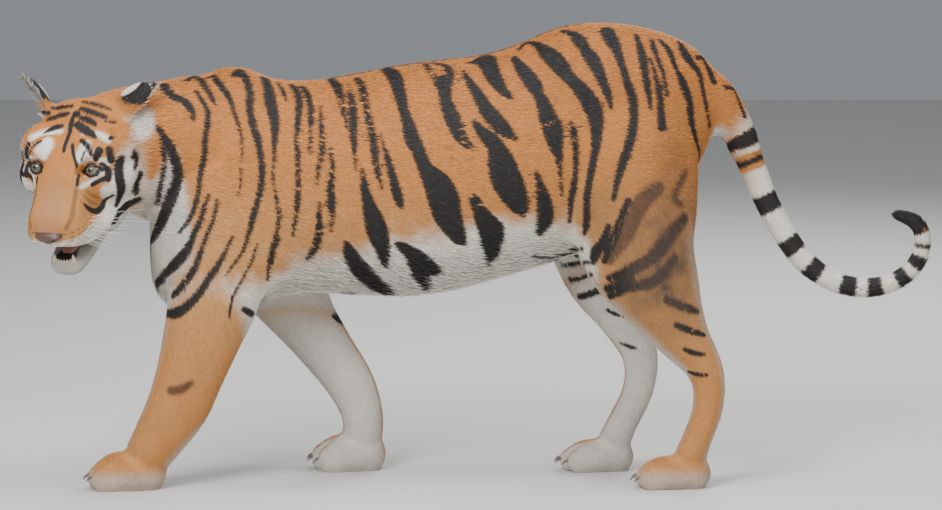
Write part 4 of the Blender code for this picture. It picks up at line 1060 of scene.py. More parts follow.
def ear_markings(points, normals, share, side, colour, dark):
    """Black back with a white oval patch, and pale hair inside, for one ear."""
    root, rise, opening = ear_axes(side)
    weight = ramp(share[f"ear{side}"], 0.35, 0.65)
    offset = to_head(points) - root
    height, sideways = offset @ rise, offset @ np.cross(rise, opening) * side
    inner = ramp(normals @ (opening @ HEAD_AXES), 0.0, 0.3)
    # pale hair inside, with painted shade in the right ear
    colour = mix(colour, WHITE * EAR_PALE_AND_SHADE[side], weight * inner)
    back = weight * (1 - inner)
    patch = 1 - ramp(np.hypot((height - 0.050) / 0.027, (sideways - EAR_PATCH[side]) / 0.021), 0.85, 1.1)
    low = 1 - ramp(height, 0.004, 0.016)
    colour = mix(colour, WHITE, back * patch)
    colour = mix(colour, DARK, back * (1 - patch) * (1 - low))
    black = (inner < 0.5) & (patch < 0.5) & (low < 0.5)
    return colour, np.where(weight > 0.5, np.where(black, -0.01, NO_BAND), dark)


# ---------------------------------------------------------------- eyes

LID_HALF_WIDTH = 0.0195
LID_UPPER = 0.0098
LID_LOWER = 0.0110
LID_SLANT = math.radians(14)        # the outer corner stands this much higher than the inner one
LID_POWER = 1.5                     # below 2, which draws the corners out to points
LID_FLOOR = 0.004                   # least height of the lids before the eyeball's middle


def eye_frame(side):
    """Centre of an eyeball in the body's axes, and its gaze, outward and upward directions."""
    ahead, up = math.cos(EYE_RISE), math.sin(EYE_RISE)
    centre = np.array([-EYE_RADIUS * ahead, side * EYE_APART, -EYE_RADIUS * up])
    gaze = np.array([ahead, 0.10 * side, up])
    gaze /= np.linalg.norm(gaze)
    outward = (np.array([0.0, side, 0.0]) * math.cos(LID_SLANT)
               + np.array([-0.5, 0, 0.86]) * math.sin(LID_SLANT))
    outward -= gaze * (outward @ gaze)
    outward /= np.linalg.norm(outward)
    upward = np.cross(gaze, outward) * side
    origin = from_head((0, 0, 0))
    turn = [from_head(axis) - origin for axis in (gaze, outward, upward)]
    return from_head(centre), *turn


def lid_radius(angle):
    """Reach of the almond opening at an angle from its outer corner, counted towards its upper lid.

    Half the width W at the corners and the lid's height H between them, with the power p = LID_POWER:
    r = 1 / (|cos / W|^p + |sin / H|^p)^(1/p).
    """
    height = np.where(np.sin(angle) > 0, LID_UPPER, LID_LOWER)
    total = np.abs(np.cos(angle) / LID_HALF_WIDTH) ** LID_POWER + np.abs(np.sin(angle) / height) ** LID_POWER
    return total ** (-1 / LID_POWER)


def eye_offsets(points, side):
    """Place of points about an eye: reach along its gaze, distance from the gaze's axis, and that distance
    as a share of the lids' opening.
    """
    centre, gaze, outward, upward = eye_frame(side)
    offset = points - centre
    across, up = offset @ outward, offset @ upward
    radius = np.hypot(across, up)
    return offset @ gaze, radius, radius / lid_radius(np.arctan2(up, across))


def over_ball(radius, ball):
    """Height of a ball's surface at a distance from its axis: sqrt(R^2 - r^2), and 0 outside it."""
    return np.sqrt(np.clip(ball ** 2 - radius ** 2, 0, None))


def fit_to_eyes(points):
    """Sinks the skin behind each eyeball inside the lids' opening and lays it over the ball outside it."""
    for side in (1, -1):
        gaze = eye_frame(side)[1]
        depth, radius, share = eye_offsets(points, side)
        near = (depth > -0.004) & (radius < 0.045)
        lid = np.maximum(over_ball(radius, EYE_RADIUS + 0.0012), LID_FLOOR) + 0.0010
        opened = share < 1.12
        wanted = np.where(opened, -0.002, lid)
        pull = np.where(opened, 1.0, 1 - ramp(share, 1.20, 1.75))
        points = points + gaze * np.where(near, (wanted - depth) * pull, 0)[:, None]
    return points


def around_gaze(outward, upward, turn):
    """Unit directions at the given turns from an eye's outward to its upward direction."""
    return outward * np.cos(turn)[..., None] + upward * np.sin(turn)[..., None]


def eyeball_grid(side):
    """Points and gaze angles of an eyeball: a sphere with a cornea that bulges about the gaze.

    At the angle a from the gaze the radius is R - 1.2 mm + 2.2 mm * exp(-(a / 0.42)^2).
    """
    centre, gaze, outward, upward = eye_frame(side)
    polar, turn = np.meshgrid(np.linspace(0.001, math.pi * 0.80, 64),
                              np.linspace(0, 2 * math.pi, 96, endpoint=False), indexing="ij")
    radius = EYE_RADIUS - 0.0012 + 0.0022 * np.exp(-(polar / 0.42) ** 2)
    ring = around_gaze(outward, upward, turn)
    rings = centre + radius[..., None] * (gaze * np.cos(polar)[..., None] + ring * np.sin(polar)[..., None])
    return rings, polar, turn


# Profile of the lids' bare edge: added radius, and height over the eyeball.
LID_STEPS = [(0.0, -0.0008), (0.0002, 0.0010), (0.0010, 0.0026), (0.0024, 0.0034),
             (0.0042, 0.0032), (0.0062, 0.0021), (0.0084, -0.0004)]


def lid_grid(side):
    """Strip of bare dark skin round the opening: across it, the profile of a rounded lid's edge.

    At each angle the strip runs outwards from the almond's edge through LID_STEPS, and its outer edge
    dips under the skin.
    """
    centre, gaze, outward, upward = eye_frame(side)
    added, height = np.array(LID_STEPS).T[..., None]
    turn = np.linspace(0, 2 * math.pi, 120, endpoint=False)
    radius = lid_radius(turn) * 0.985 + added
    depth = np.maximum(over_ball(radius, EYE_RADIUS), LID_FLOOR) + height
    return centre + gaze * depth[..., None] + around_gaze(outward, upward, turn) * radius[..., None]


# ---------------------------------------------------------------- objects from arrays

def surface(name, points, faces, material, colours=None, values=None, outward=True):
    """A smooth-shaded object from arrays, with optional colours and named values held at its points.

    All its faces have the same number of sides, and with 'outward' they are turned outwards.
    """
    mesh = bpy.data.meshes.new(name)
    count, sides = faces.shape
    mesh.vertices.add(len(points))
    mesh.vertices.foreach_set("co", points.ravel())
    mesh.loops.add(count * sides)
    mesh.loops.foreach_set("vertex_index", faces.ravel().astype(np.int32))
    mesh.polygons.add(count)
    mesh.polygons.foreach_set("loop_start", np.arange(0, count * sides, sides, dtype=np.int32))
    mesh.update(calc_edges=True)
    if outward:
        set_outward(mesh)
    mesh.shade_smooth()
    if colours is not None:
        layer = mesh.attributes.new("coat_colour", "FLOAT_COLOR", "POINT")
        layer.data.foreach_set("color", np.column_stack([colours, np.ones(len(colours))]).ravel())
    for key, value in (values or {}).items():
        layer = mesh.attributes.new(key, "FLOAT", "POINT")
        layer.data.foreach_set("value", value)
    mesh.materials.append(material)
    return link(name, mesh)


def grid_faces(rows, columns, around=True):
    """Four-sided faces of a grid of points, closed round its columns when 'around' is set."""
    last = columns if around else columns - 1
    row, column = np.mgrid[0:rows - 1, 0:last]
    after = (column + 1) % columns
    quads = np.stack([row * columns + column, row * columns + after,
                      (row + 1) * columns + after, (row + 1) * columns + column], axis=-1)
    return quads.reshape(-1, 4)


TUBE_SIDE = (0.31, 0.17, 0.93)      # no tube runs along this direction


def tube(path, radii, sides):
    """Rings of a round tube of changing radius carried along a path, with the turn held by a fixed side."""
    along = unit(np.gradient(path, axis=0))
    across = unit(np.cross(along, TUBE_SIDE))
    over = np.cross(along, across)
    turn = np.linspace(0, 2 * math.pi, sides, endpoint=False)
    ring = across[:, None] * np.cos(turn)[:, None] + over[:, None] * np.sin(turn)[:, None]
    return path[:, None] + ring * np.asarray(radii)[:, None, None]


def gathered(grids):
    """Points and faces of several grids, each closed round its columns, as one mesh."""
    points, faces, start = [], [], 0
    for grid in grids:
        rows, columns = grid.shape[:2]
        points.append(grid.reshape(-1, 3))
        faces.append(grid_faces(rows, columns) + start)
        start += rows * columns
    return np.vstack(points), np.vstack(faces)


# ---------------------------------------------------------------- materials

def shader_of(name, roughness, **constants):
    """A new material's node tree and its Principled shader, with constant inputs set."""
    material = bpy.data.materials.new(name)
    material.use_nodes = True
    nodes, links = material.node_tree.nodes, material.node_tree.links
    shader = nodes["Principled BSDF"]
    shader.inputs["Roughness"].default_value = roughness
    for key, value in constants.items():
        shader.inputs[key.replace("_", " ")].default_value = value
    return material, nodes, links, shader


def add_node(nodes, kind, **values):
    """A node with the given settings; inputs are given as i0, i1 and so on."""
    node = nodes.new(kind)
    for key, value in values.items():
        if key[0] == "i" and key[1:].isdigit():
            node.inputs[int(key[1:])].default_value = value
        else:
            setattr(node, key, value)
    return node


def add_bump(nodes, links, shader, scale, depth):
    """Fine relief from noise in the object's own coordinates."""
    place = add_node(nodes, "ShaderNodeTexCoord")
    noise = add_node(nodes, "ShaderNodeTexNoise")
    noise.inputs["Scale"].default_value = scale
    noise.inputs["Detail"].default_value = 4.0
    relief = add_node(nodes, "ShaderNodeBump")
    relief.inputs["Strength"].default_value = 1.0
    relief.inputs["Distance"].default_value = depth
    links.new(place.outputs["Object"], noise.inputs["Vector"])
    links.new(noise.outputs["Fac"], relief.inputs["Height"])
    links.new(relief.outputs[0], shader.inputs["Normal"])
    return noise


def skin_material():
    """Coat colours held at the points, with dark bands cut at the signed distance, over a fine relief."""
    material, nodes, links, shader = shader_of("coat_skin", 0.75)
    base = add_node(nodes, "ShaderNodeAttribute", attribute_name="coat_colour")
    band = add_node(nodes, "ShaderNodeAttribute", attribute_name="band")
    noise = add_bump(nodes, links, shader, 420.0, 0.0012)
    ragged = add_node(nodes, "ShaderNodeMath", operation="MULTIPLY_ADD", i1=0.005, i2=-0.0025)
    total = add_node(nodes, "ShaderNodeMath", operation="ADD")
    edge = add_node(nodes, "ShaderNodeMapRange", i1=-0.0012, i2=0.0012, i3=1.0, i4=0.0)
    blend = add_node(nodes, "ShaderNodeMix", data_type="RGBA")
    blend.inputs[7].default_value = (*DARK, 1.0)
    links.new(noise.outputs["Fac"], ragged.inputs[0])
    links.new(ragged.outputs[0], total.inputs[0])
    links.new(band.outputs["Fac"], total.inputs[1])
    links.new(total.outputs[0], edge.inputs[0])
    links.new(edge.outputs[0], blend.inputs[0])
    links.new(base.outputs["Color"], blend.inputs[6])
    links.new(blend.outputs[2], shader.inputs["Base Color"])
    return material


def plain_material(name, colour, roughness, scale=300.0, depth=0.0003):
    """One colour, a little lighter and darker in patches, with a fine relief."""
    material, nodes, links, shader = shader_of(name, roughness)
    noise = add_bump(nodes, links, shader, scale, depth)
    shade = add_node(nodes, "ShaderNodeValToRGB")
    for stop, position, tone in zip(shade.color_ramp.elements, (0.3, 0.7), (0.82, 1.12)):
        stop.position = position
        stop.color = (*np.clip(np.array(colour) * tone, 0, 1), 1)
    links.new(noise.outputs["Fac"], shade.inputs[0])
    links.new(shade.outputs[0], shader.inputs["Base Color"])
    return material


def painted_material(name, roughness, relief=None, **constants):
    """The colours held at the points, with a fine relief where its scale and depth are given."""
    material, nodes, links, shader = shader_of(name, roughness, **constants)
    base = add_node(nodes, "ShaderNodeAttribute", attribute_name="coat_colour")
    if relief:
        add_bump(nodes, links, shader, *relief)
    links.new(base.outputs["Color"], shader.inputs["Base Color"])
    return material


STREAKS = ((23, 0.3), (37, 1.7), (53, 4.1), (71, 2.2))      # of the iris: number round it, and phase
IRIS = np.array([0.155, 0.135, 0.092])
IRIS_WARM = np.array([0.13, 0.085, 0.035])
PUPIL = np.array([0.012, 0.010, 0.008])
EYE_RIM = np.array([0.03, 0.022, 0.016])
EYE_WHITE = np.array([0.075, 0.055, 0.042])


def eye_colours(polar, turn):
    """Round pupil, streaked grey-amber iris, dark rim and warm white, by the angle from the gaze."""
    polar, turn = polar.ravel(), turn.ravel()
    streak = sum(np.sin(turn * k + phase) for k, phase in STREAKS) / len(STREAKS)
    colour = IRIS * (1 + 0.20 * streak)[:, None]
    colour = mix(colour, IRIS_WARM, 0.75 * (1 - ramp(polar, 0.26, 0.46)))
    colour = mix(colour, PUPIL, 1 - ramp(polar, 0.250, 0.275))
    colour = mix(colour, EYE_RIM, ramp(polar, 0.64, 0.72))
    return mix(colour, EYE_WHITE, ramp(polar, 0.86, 0.95))


# ---------------------------------------------------------------- the fur

def cup_share(normals, share):
    """How much each point faces the hollow of its ear."""
    total = np.zeros(len(normals))
    for side in (1, -1):
        facing = normals @ (ear_axes(side)[2] @ HEAD_AXES)
        total += ramp(share[f"ear{side}"], 0.3, 0.6) * ramp(facing, 0.1, 0.5)
    return total


TOE_GROOVE = 0.0085                 # depth and half width of the grooves between the toes
TOE_GROOVE_WIDTH = 0.0045


def toe_grooves(points, normals):
    """Presses three grooves between the four toes of each foot: depth * exp(-(distance across / width)^2)."""
    press = np.zeros(len(points))
    for (x, y), half_length, half_width, height in PAWS.values():
        forward = (x - points[:, 0]) / half_length
        across = points[:, 1] - y
        inside = ramp(forward, 0.30, 0.62) * (1 - ramp(forward, 1.15, 1.3))
        inside *= (np.abs(across) < half_width * 1.3) & (points[:, 2] < height * 1.05)
        for place in (-0.44, 0.0, 0.44):
            fan = place * half_width * (0.80 + 0.20 * np.clip(forward, 0, 1))
            press = np.maximum(press, inside * np.exp(-((across - fan) / TOE_GROOVE_WIDTH) ** 2))
    return points - normals * (TOE_GROOVE * press)[:, None]


# Furrow beside the bridge of the nose: along the muzzle, from the middle, and towards the crown.
FURROW = np.array([(0.02, 0.050, -0.052), (0.06, 0.043, -0.060), (0.10, 0.037, -0.069),
                   (0.13, 0.034, -0.076)])


def muzzle_relief(points, normals):
    """Presses furrows beside the bridge of the nose and down the middle of the upper lip, and the inner
    corners of the eyes, and swells the whisker pads.

    Each is depth * exp(-(distance / width)^2), measured in the head's own axes.
    """
    f, l, u = to_head(points).T
    side = np.abs(l)
    line, height = (np.interp(f, FURROW[:, 0], FURROW[:, k]) for k in (1, 2))
    furrow = np.exp(-((side - line) / 0.0075) ** 2 - ((u - height) / 0.016) ** 2) * ramp(f, 0.02, 0.07)
    split = np.exp(-(side / 0.0045) ** 2) * ramp(f, 0.10, 0.12)
    split *= ramp(-u, 0.082, 0.095) * (1 - ramp(-u, 0.14, 0.15))
    folded = np.column_stack([f, side, u])
    corner = bump(folded, (0.012, 0.034, -0.010), (0.014, 0.012, 0.016))
    pad = bump(folded, (0.098, 0.036, -0.104), (0.026, 0.020, 0.018))
    press = 0.0050 * furrow + 0.0045 * split + 0.0060 * corner - 0.0050 * pad
    return points - normals * press[:, None]


FACE_HAIR = [(-0.26, 0.016), (-0.16, 0.013), (-0.09, 0.0095), (-0.03, 0.0065), (0.03, 0.0052),
             (0.09, 0.0036), (0.135, 0.0026)]       # place along the muzzle, and length of the hair there


def coat_plan(points, normals, share):
    """Length, width, lift and density of the tufts at each point, and how deep the skin lies under them.

    The lengths of the parts of the body are mixed by their shares. A tuft's width is 0.6 mm and 9% of
    its length, and its density 1 / (length * width), so that all parts are covered alike.
    """
    head, legs = head_and_legs(share)
    ears = share["ear1"] + share["ear-1"]
    f, l, u = to_head(points).T
    z = points[:, 2]
    length = np.full(len(points), 0.015)
    under = ramp(-normals[:, 2], 0.3, 0.8)
    length += 0.013 * under * ramp(share["trunk"], 0.4, 0.8)
    length += 0.005 * share["neck"] * (0.2 + ramp(0.72 - z, -0.05, 0.10))
    length = length * (1 - legs) + legs * (0.0095 + 0.004 * ramp(z, 0.20, 0.45))
    length = np.where(z < 0.09, np.minimum(length, 0.0065 + 0.04 * z), length)
    length = length * (1 - share["tail"]) + share["tail"] * 0.014
    face = np.interp(f, *np.array(FACE_HAIR).T)
    ruff = ramp(np.abs(l), 0.070, 0.110) * (1 - ramp(f, -0.06, 0.0)) * (1 - ramp(u, 0.00, 0.05))
    beard = (1 - ramp(u, -0.19, -0.15)) * (1 - ramp(f, 0.06, 0.10))
    face = face * (1 + 1.4 * ruff + 0.8 * beard)
    cup = cup_share(normals, share)
    length = length * (1 - head) + face * head
    length = length * (1 - ears) + (0.0065 + 0.014 * cup) * ears
    width = 0.00060 + 0.090 * length
    lift = 0.16 + 0.26 * ruff * head + 0.12 * under + (0.08 + 0.30 * cup) * ears
    depth = np.clip(0.36 * length, 0.0010, 0.010)
    return {"length": length, "width": width, "lift": lift, "density": 1 / (length * width), "depth": depth}


EYE_WHORL = (0.010, 0.064, 0.006)   # hair lies away from this place of each eye: behind, apart, below
WHORL_RADIUS = 0.030


def along_skin(vectors, normals):
    """The vectors less their parts along the normals, at length 1."""
    return unit(vectors - normals * (vectors * normals).sum(axis=1)[:, None])


def lie_of_fur(points, normals, share, lie):
    """Direction in which the fur lies at each point, along the skin.

    On the body it follows the paths, drawn down on the trunk, neck and legs. On the head it lies back from
    the nose and outwards from the middle, and round each eye away from it, by
    1.6 * exp(-(distance / radius)^2).
    """
    head, legs = head_and_legs(share)
    f, l, u = to_head(points).T
    down = np.array([0.0, 0.0, -1.0])
    lie = unit(lie) + down * (0.42 * share["trunk"] + 0.35 * share["neck"] + 0.3 * legs)[:, None]
    rise = np.interp(u, [-0.2, -0.12, -0.04, 0.04], [-0.9, -0.7, -0.15, 0.25])
    back = np.column_stack([np.full(len(f), -1.0), l * 7.0, rise])
    behind, apart, below = EYE_WHORL
    for side in (1, -1):
        offset = np.column_stack([f + behind, l - side * apart, u + below])
        radius = np.linalg.norm(offset, axis=1)
        back += unit(offset) * (1.6 * np.exp(-(radius / WHORL_RADIUS) ** 2))[:, None]
    return along_skin(lie * (1 - head)[:, None] + back @ HEAD_AXES * head[:, None], normals)


NOSE_AT = (0.133, 0.0, -0.080)      # middle and radii of the bare nose, in the head's axes
NOSE_SIZE = (0.017, 0.0280, 0.0125)
BARE_LIDS = 1.32                    # the lids are bare as far as this share of their opening


def bare(points, normals):
    """1 where no hair grows: within the lids, inside the mouth, on the nose leather and under the feet."""
    result = (mouth_depth(points) > -LIP_GAP) | ((points[:, 2] < 0.003) & (normals[:, 2] < -0.5))
    result |= (((to_head(points) - NOSE_AT) / NOSE_SIZE) ** 2).sum(axis=1) < 1.0
    for side in (1, -1):
        depth, radius, share = eye_offsets(points, side)
        result |= (share < BARE_LIDS) & (depth > -0.012) & (radius < 0.04)
    return result.astype(float)


BLADE = np.array([(0, 3, 2), (0, 1, 3), (1, 4, 3), (2, 3, 5), (3, 4, 5)])     # a tuft's five triangles
BLADE_MAP = np.array([(0.0, 0.0), (1.0, 0.0), (0.0, 0.5), (0.5, 0.5), (1.0, 0.5), (0.5, 1.0)])
BLADE_PATCH = 0.003                 # size of a tuft's patch on the flat map
BLADE_LIGHT_AND_SHADE = np.array([0.62, 0.62, 0.92, 1.02, 0.92, 1.12])        # brightness at its six points: painted shade at the root and the edges, painted light at the ridge and the tip
ROOT_SINK = 0.0010                  # how deep the roots stand in the skin


def tuft_arrays(roots, normals, lie, length, width, lift, rng):
    """Six points for each tuft, which BLADE joins into a thin blade with a ridge.

    A blade leaves its root at the angle 'lift' from the skin, is widest at its middle and bends back
    towards the skin by its tip: the height over the root at the share t is L (t sin(lift) - 0.35 t^2 lift).
    """
    count = len(roots)
    turn = rng.normal(0, 0.17, count)
    side = np.cross(normals, lie)
    forward = lie * np.cos(turn)[:, None] + side * np.sin(turn)[:, None]
    side = np.cross(normals, forward)
    length = length * rng.uniform(0.75, 1.20, count)
    lift = lift * rng.uniform(0.5, 1.5, count)
    width = width * rng.uniform(0.8, 1.2, count)

    def at(share, sideways, ridge):
        height = length * (share * np.sin(lift) - 0.35 * share ** 2 * lift) + ridge * width
        return (roots + forward * (share * length)[:, None] + side * (sideways * width / 2)[:, None]
                + normals * height[:, None])

    sink = normals * ROOT_SINK
    return np.stack([at(0.0, 0.7, 0) - sink, at(0.0, -0.7, 0) - sink, at(0.45, 1.0, 0), at(0.45, 0.0, 0.28),
                     at(0.45, -1.0, 0), at(1.0, 0.0, 0)], axis=1)


def tuft_colours(points, normals, shares, bands, rng):
    """Colour at each point of the tufts: the markings at its root, middle and tip, with painted shade at the root and
    painted light towards the tip.
    """
    kinds = []
    for place in (0, 3, 5):
        colour, dark = markings(points[:, place], normals, shares, bands)
        kinds.append(mix(colour, DARK, 1 - ramp(dark, -0.0010, 0.0010)))
    root, middle, tip = kinds
    tint = rng.normal(1.0, 0.08, (len(points), 1, 1))
    colour = np.stack([root, root, middle, middle, middle, 0.5 * (middle + tip)], axis=1)
    return np.clip(colour * BLADE_LIGHT_AND_SHADE[:, None] * tint, 0, 1)


MAP_ROWS = 4                        # strips stacked in a column of the flat map
LONGEST_PATH = 1.45
MAP_MARGIN = 0.03


def unwrap(owner, travelled, angle):
    """Place of each point on a flat map of the skin: a strip for each path, by distance and angle."""
    columns = -(-(owner.max() + 1) // MAP_ROWS)
    used = 1 - 2 * MAP_MARGIN
    u = (owner // MAP_ROWS + MAP_MARGIN + used * np.clip(travelled / LONGEST_PATH, 0, 1)) / columns
    v = (owner % MAP_ROWS + MAP_MARGIN + used * (angle / (2 * math.pi) + 0.5)) / MAP_ROWS
    return np.column_stack([u, v])


def coat_piece(name, points, faces, colours, flat, material):
    """One object of tufts whose map, OFBake, holds each tuft as a small patch at its root's place."""
    item = surface(name, points, faces, material, colours, outward=False)
    place = np.clip(flat[:, None] + (BLADE_MAP - 0.5) * BLADE_PATCH, 0, 1).reshape(-1, 2)
    layer = item.data.uv_layers.new(name="OFBake")
    layer.data.foreach_set("uv", place[faces.ravel()].ravel())
    return item


TUFTS = 285000
COAT_SEED = 7
BROW_LINE = -0.075                  # along the muzzle: the crown's tufts are behind it, the face's before


def coat_group(points, owner, names):
    """The pieces of the coat: the name of each, and the numbers of the roots that belong to it."""
    f, side = to_head(points)[:, :2].T
    x = points[:, 0]
    path = np.array(names)[owner]
    head = (path == "skull") | (path == "jaw")
    face, trunk = head & (f >= BROW_LINE), path == "trunk"
    rules = [
        ("coat_face_left", face & (side >= 0)),
        ("coat_face_right", face & (side < 0)),
        ("coat_crown", (head & (f < BROW_LINE)) | np.char.startswith(path, "ear")),
        ("coat_neck", path == "neck"),
        ("coat_shoulders", trunk & (x < -0.40)),
        ("coat_chest", trunk & (x >= -0.40) & (x < -0.10)),
        ("coat_flanks", trunk & (x >= -0.10) & (x < 0.20)),
        ("coat_rump", trunk & (x >= 0.20)),
        ("coat_left_foreleg", path == "left_fore"),
        ("coat_right_foreleg", path == "right_fore"),
        ("coat_left_hind_leg", path == "left_hind"),
        ("coat_right_hind_leg", path == "right_hind"),
        ("coat_tail", path == "tail"),
    ]
    return [(name, np.flatnonzero(rule)) for name, rule in rules]


def grow_coat(points, faces, normals, plan, lie, place, bands, share):
    """TUFTS tufts scattered over the skin by the plan's density, in one object for each part of the body.

    A root lies in its triangle at the weights (1 - r, r (1 - q), r q), with r the square root of a random
    number and q another.
    """
    rng = np.random.default_rng(COAT_SEED)
    a, b, c = (points[faces[:, k]] for k in range(3))
    area = np.linalg.norm(np.cross(b - a, c - a), axis=1) / 2
    hairless = bare(points, normals)
    density = plan["density"] * (1 - hairless)
    expected = np.cumsum(area * density[faces].mean(axis=1))
    ticks = (np.arange(TUFTS) + rng.uniform(0, 1, TUFTS)) * expected[-1] / TUFTS
    triangle = np.minimum(np.searchsorted(expected, ticks), len(faces) - 1)
    r, q = np.sqrt(rng.uniform(0, 1, TUFTS)), rng.uniform(0, 1, TUFTS)
    weight = np.stack([1 - r, r * (1 - q), r * q], axis=1)
    corner = faces[triangle]

    def spread(values):
        """Values held at the points, at the roots."""
        return (values[corner] * weight.reshape(weight.shape + (1,) * (values.ndim - 1))).sum(axis=1)

    roots, normal = spread(points), spread(normals)
    keep = (bare(roots, normal) < 0.5) & (spread(hairless) < 0.6)
    roots, normal, direction = roots[keep], unit(normal[keep]), spread(lie)[keep]
    shares = {name: spread(values)[keep] for name, values in share.items()}
    blades = tuft_arrays(roots, normal, along_skin(direction, normal),
                         *(spread(plan[key])[keep] for key in ("length", "width", "lift")), rng)
    paint = tuft_colours(blades, normal, shares, bands, rng)
    blades[..., 2] = np.maximum(blades[..., 2], 0.0004)
    owner, travelled, angle, names = place
    nearest = corner[keep, 0]
    flat = unwrap(owner[nearest], travelled[nearest], angle[nearest])
    material = painted_material("coat_hair", 0.62, Specular_IOR_Level=0.25)
    pieces = []
    for name, mine in coat_group(roots, owner[nearest], names):
        shape = (np.arange(len(mine))[:, None, None] * 6 + BLADE).reshape(-1, 3)
        pieces.append(coat_piece(name, blades[mine].reshape(-1, 3) + PLACE, shape, paint[mine].reshape(-1, 3),
                                 flat[mine], material))
    return pieces


# ---------------------------------------------------------------- nose, mouth and whiskers

LEATHER = np.array([0.105, 0.057, 0.046])
# painted shade inside the nostrils
NOSTRIL_SHADE = np.array([0.012, 0.008, 0.008])


def nose_grid():
    """The nose leather and its colours: a rounded shield with two comma nostrils and a middle groove.

    Across (a) and down (b) it runs from -1 to 1; the half width narrows below, and the surface bulges
    forwards as 1 - 0.62 a^2 - 0.30 b^2, less two pits with slits at the nostrils, a groove along the
    middle and a rolled edge.
    """
    b, a = np.meshgrid(np.linspace(-1, 1, 72), np.linspace(-1, 1, 96), indexing="ij")
    half_width = 0.0330 * np.where(b < 0, 1 - 0.34 * b ** 2, 1 - 0.84 * np.clip(b, 0, 1) ** 1.25)
    bulge = 1 - 0.62 * a ** 2 - 0.30 * b ** 2
    side = np.abs(a)
    nostril = np.exp(-(((side - 0.50) / 0.17) ** 2 + ((b - 0.16 - 0.45 * (side - 0.50)) / 0.22) ** 2))
    slit = np.exp(-(((side - 0.80) / 0.26) ** 2 + ((b - 0.16 + 0.85 * (side - 0.80)) / 0.13) ** 2))
    wing = np.exp(-(((side - 0.66) / 0.22) ** 2 + ((b + 0.32) / 0.22) ** 2))
    groove = np.exp(-(a / 0.06) ** 2) * ramp(b, -0.3, 0.5)
    edge = ramp(np.maximum(side, np.abs(b)), 0.84, 1.0)
    forward = (0.1275 + 0.0175 * bulge - 0.0050 * nostril - 0.0016 * slit + 0.0024 * wing
               - 0.0026 * groove - 0.008 * edge - 0.0075 * np.clip(-b, 0, 1) ** 2 - 0.003 * b)
    height = -0.0815 - 0.0155 * b
    points = np.stack([forward, a * half_width, height], axis=-1)
    # painted shade: the nostril pits and slits are filled with a near-black colour
    pits = ramp(np.clip(1.3 * nostril + 1.3 * slit, 0, 1), 0.30, 0.75)
    colour = LEATHER * ((1 - 0.62 * edge) * (1 - 0.35 * groove)).reshape(-1, 1)
    return from_head(points), mix(colour, NOSTRIL_SHADE, pits.ravel())


def tooth_grid(root, radius, length, back):
    """A tooth: a circle carried along a path that curves back, its radius falling as (1 - t^1.6)^0.7."""
    t = np.linspace(0, 1, 14)
    path = np.asarray(root) + np.column_stack([-back * t ** 2, np.zeros(len(t)), length * t])
    return from_head(tube(path, radius * np.maximum(1 - t ** 1.6, 0.004) ** 0.7, 14))


def teeth_grids():
    """Four canines and two rows of incisors."""
    grids = []
    for side in (1, -1):
        grids.append(tooth_grid((0.100, side * 0.029, -0.108), 0.0070, -0.028, 0.006))
        grids.append(tooth_grid((0.103, side * 0.023, -0.176), 0.0058, 0.022, 0.005))
        for number in range(3):
            across = side * (0.0036 + 0.0066 * number)
            grids.append(tooth_grid((0.110 - 14 * across ** 2, across, -0.174), 0.0030, 0.013, 0.001))
            grids.append(tooth_grid((0.112 - 14 * across ** 2, across, -0.108), 0.0032, -0.012, 0.001))
    return grids


def tongue_grid():
    """The tongue: a flattened tube along the jaw's middle with a shallow groove, ending in a round tip.

    Its half width is 22 mm * sqrt(1 - t^5), and half its thickness 7.8 mm * sqrt(1 - t^6).
    """
    t = np.linspace(0, 1, 40)[:, None]
    turn = np.linspace(0, 2 * math.pi, 36, endpoint=False)
    across = np.cos(turn) * 0.0220 * np.sqrt(np.clip(1 - t ** 5, 0.0004, 1))
    up = np.sin(turn) * 0.0078 * np.sqrt(np.clip(1 - t ** 6, 0.0004, 1))
    up -= 0.0030 * np.exp(-(across / 0.006) ** 2) * (np.sin(turn) > 0)
    forward = -0.010 + 0.098 * t + 0 * across
    return from_head(np.stack([forward, across, up - 0.152 - 0.014 * t ** 2], axis=-1))


def claw_grids():
    """The tips of four claws on each foot: short tapered tubes that curve down out of the toes."""
    grids = []
    t = np.linspace(0, 1, 8)
    for name, ((x, y), half_length, half_width, height) in PAWS.items():
        for forward, sideways in toe_places(half_length, half_width, 1 if name.startswith("left") else -1):
            front = x - forward - 0.36 * half_length
            path = np.column_stack([front - 0.014 * t, np.full(len(t), y + sideways),
                                    height * 0.36 - 0.012 * t ** 1.8])
            grids.append(tube(path, 0.0036 * np.maximum(1 - t ** 1.5, 0.02) ** 0.8, 10))
    return grids


WHISKER_SEED = 11
WHISKER_RADIUS = 0.00100
BROW_WHISKER_RADIUS = 0.0004


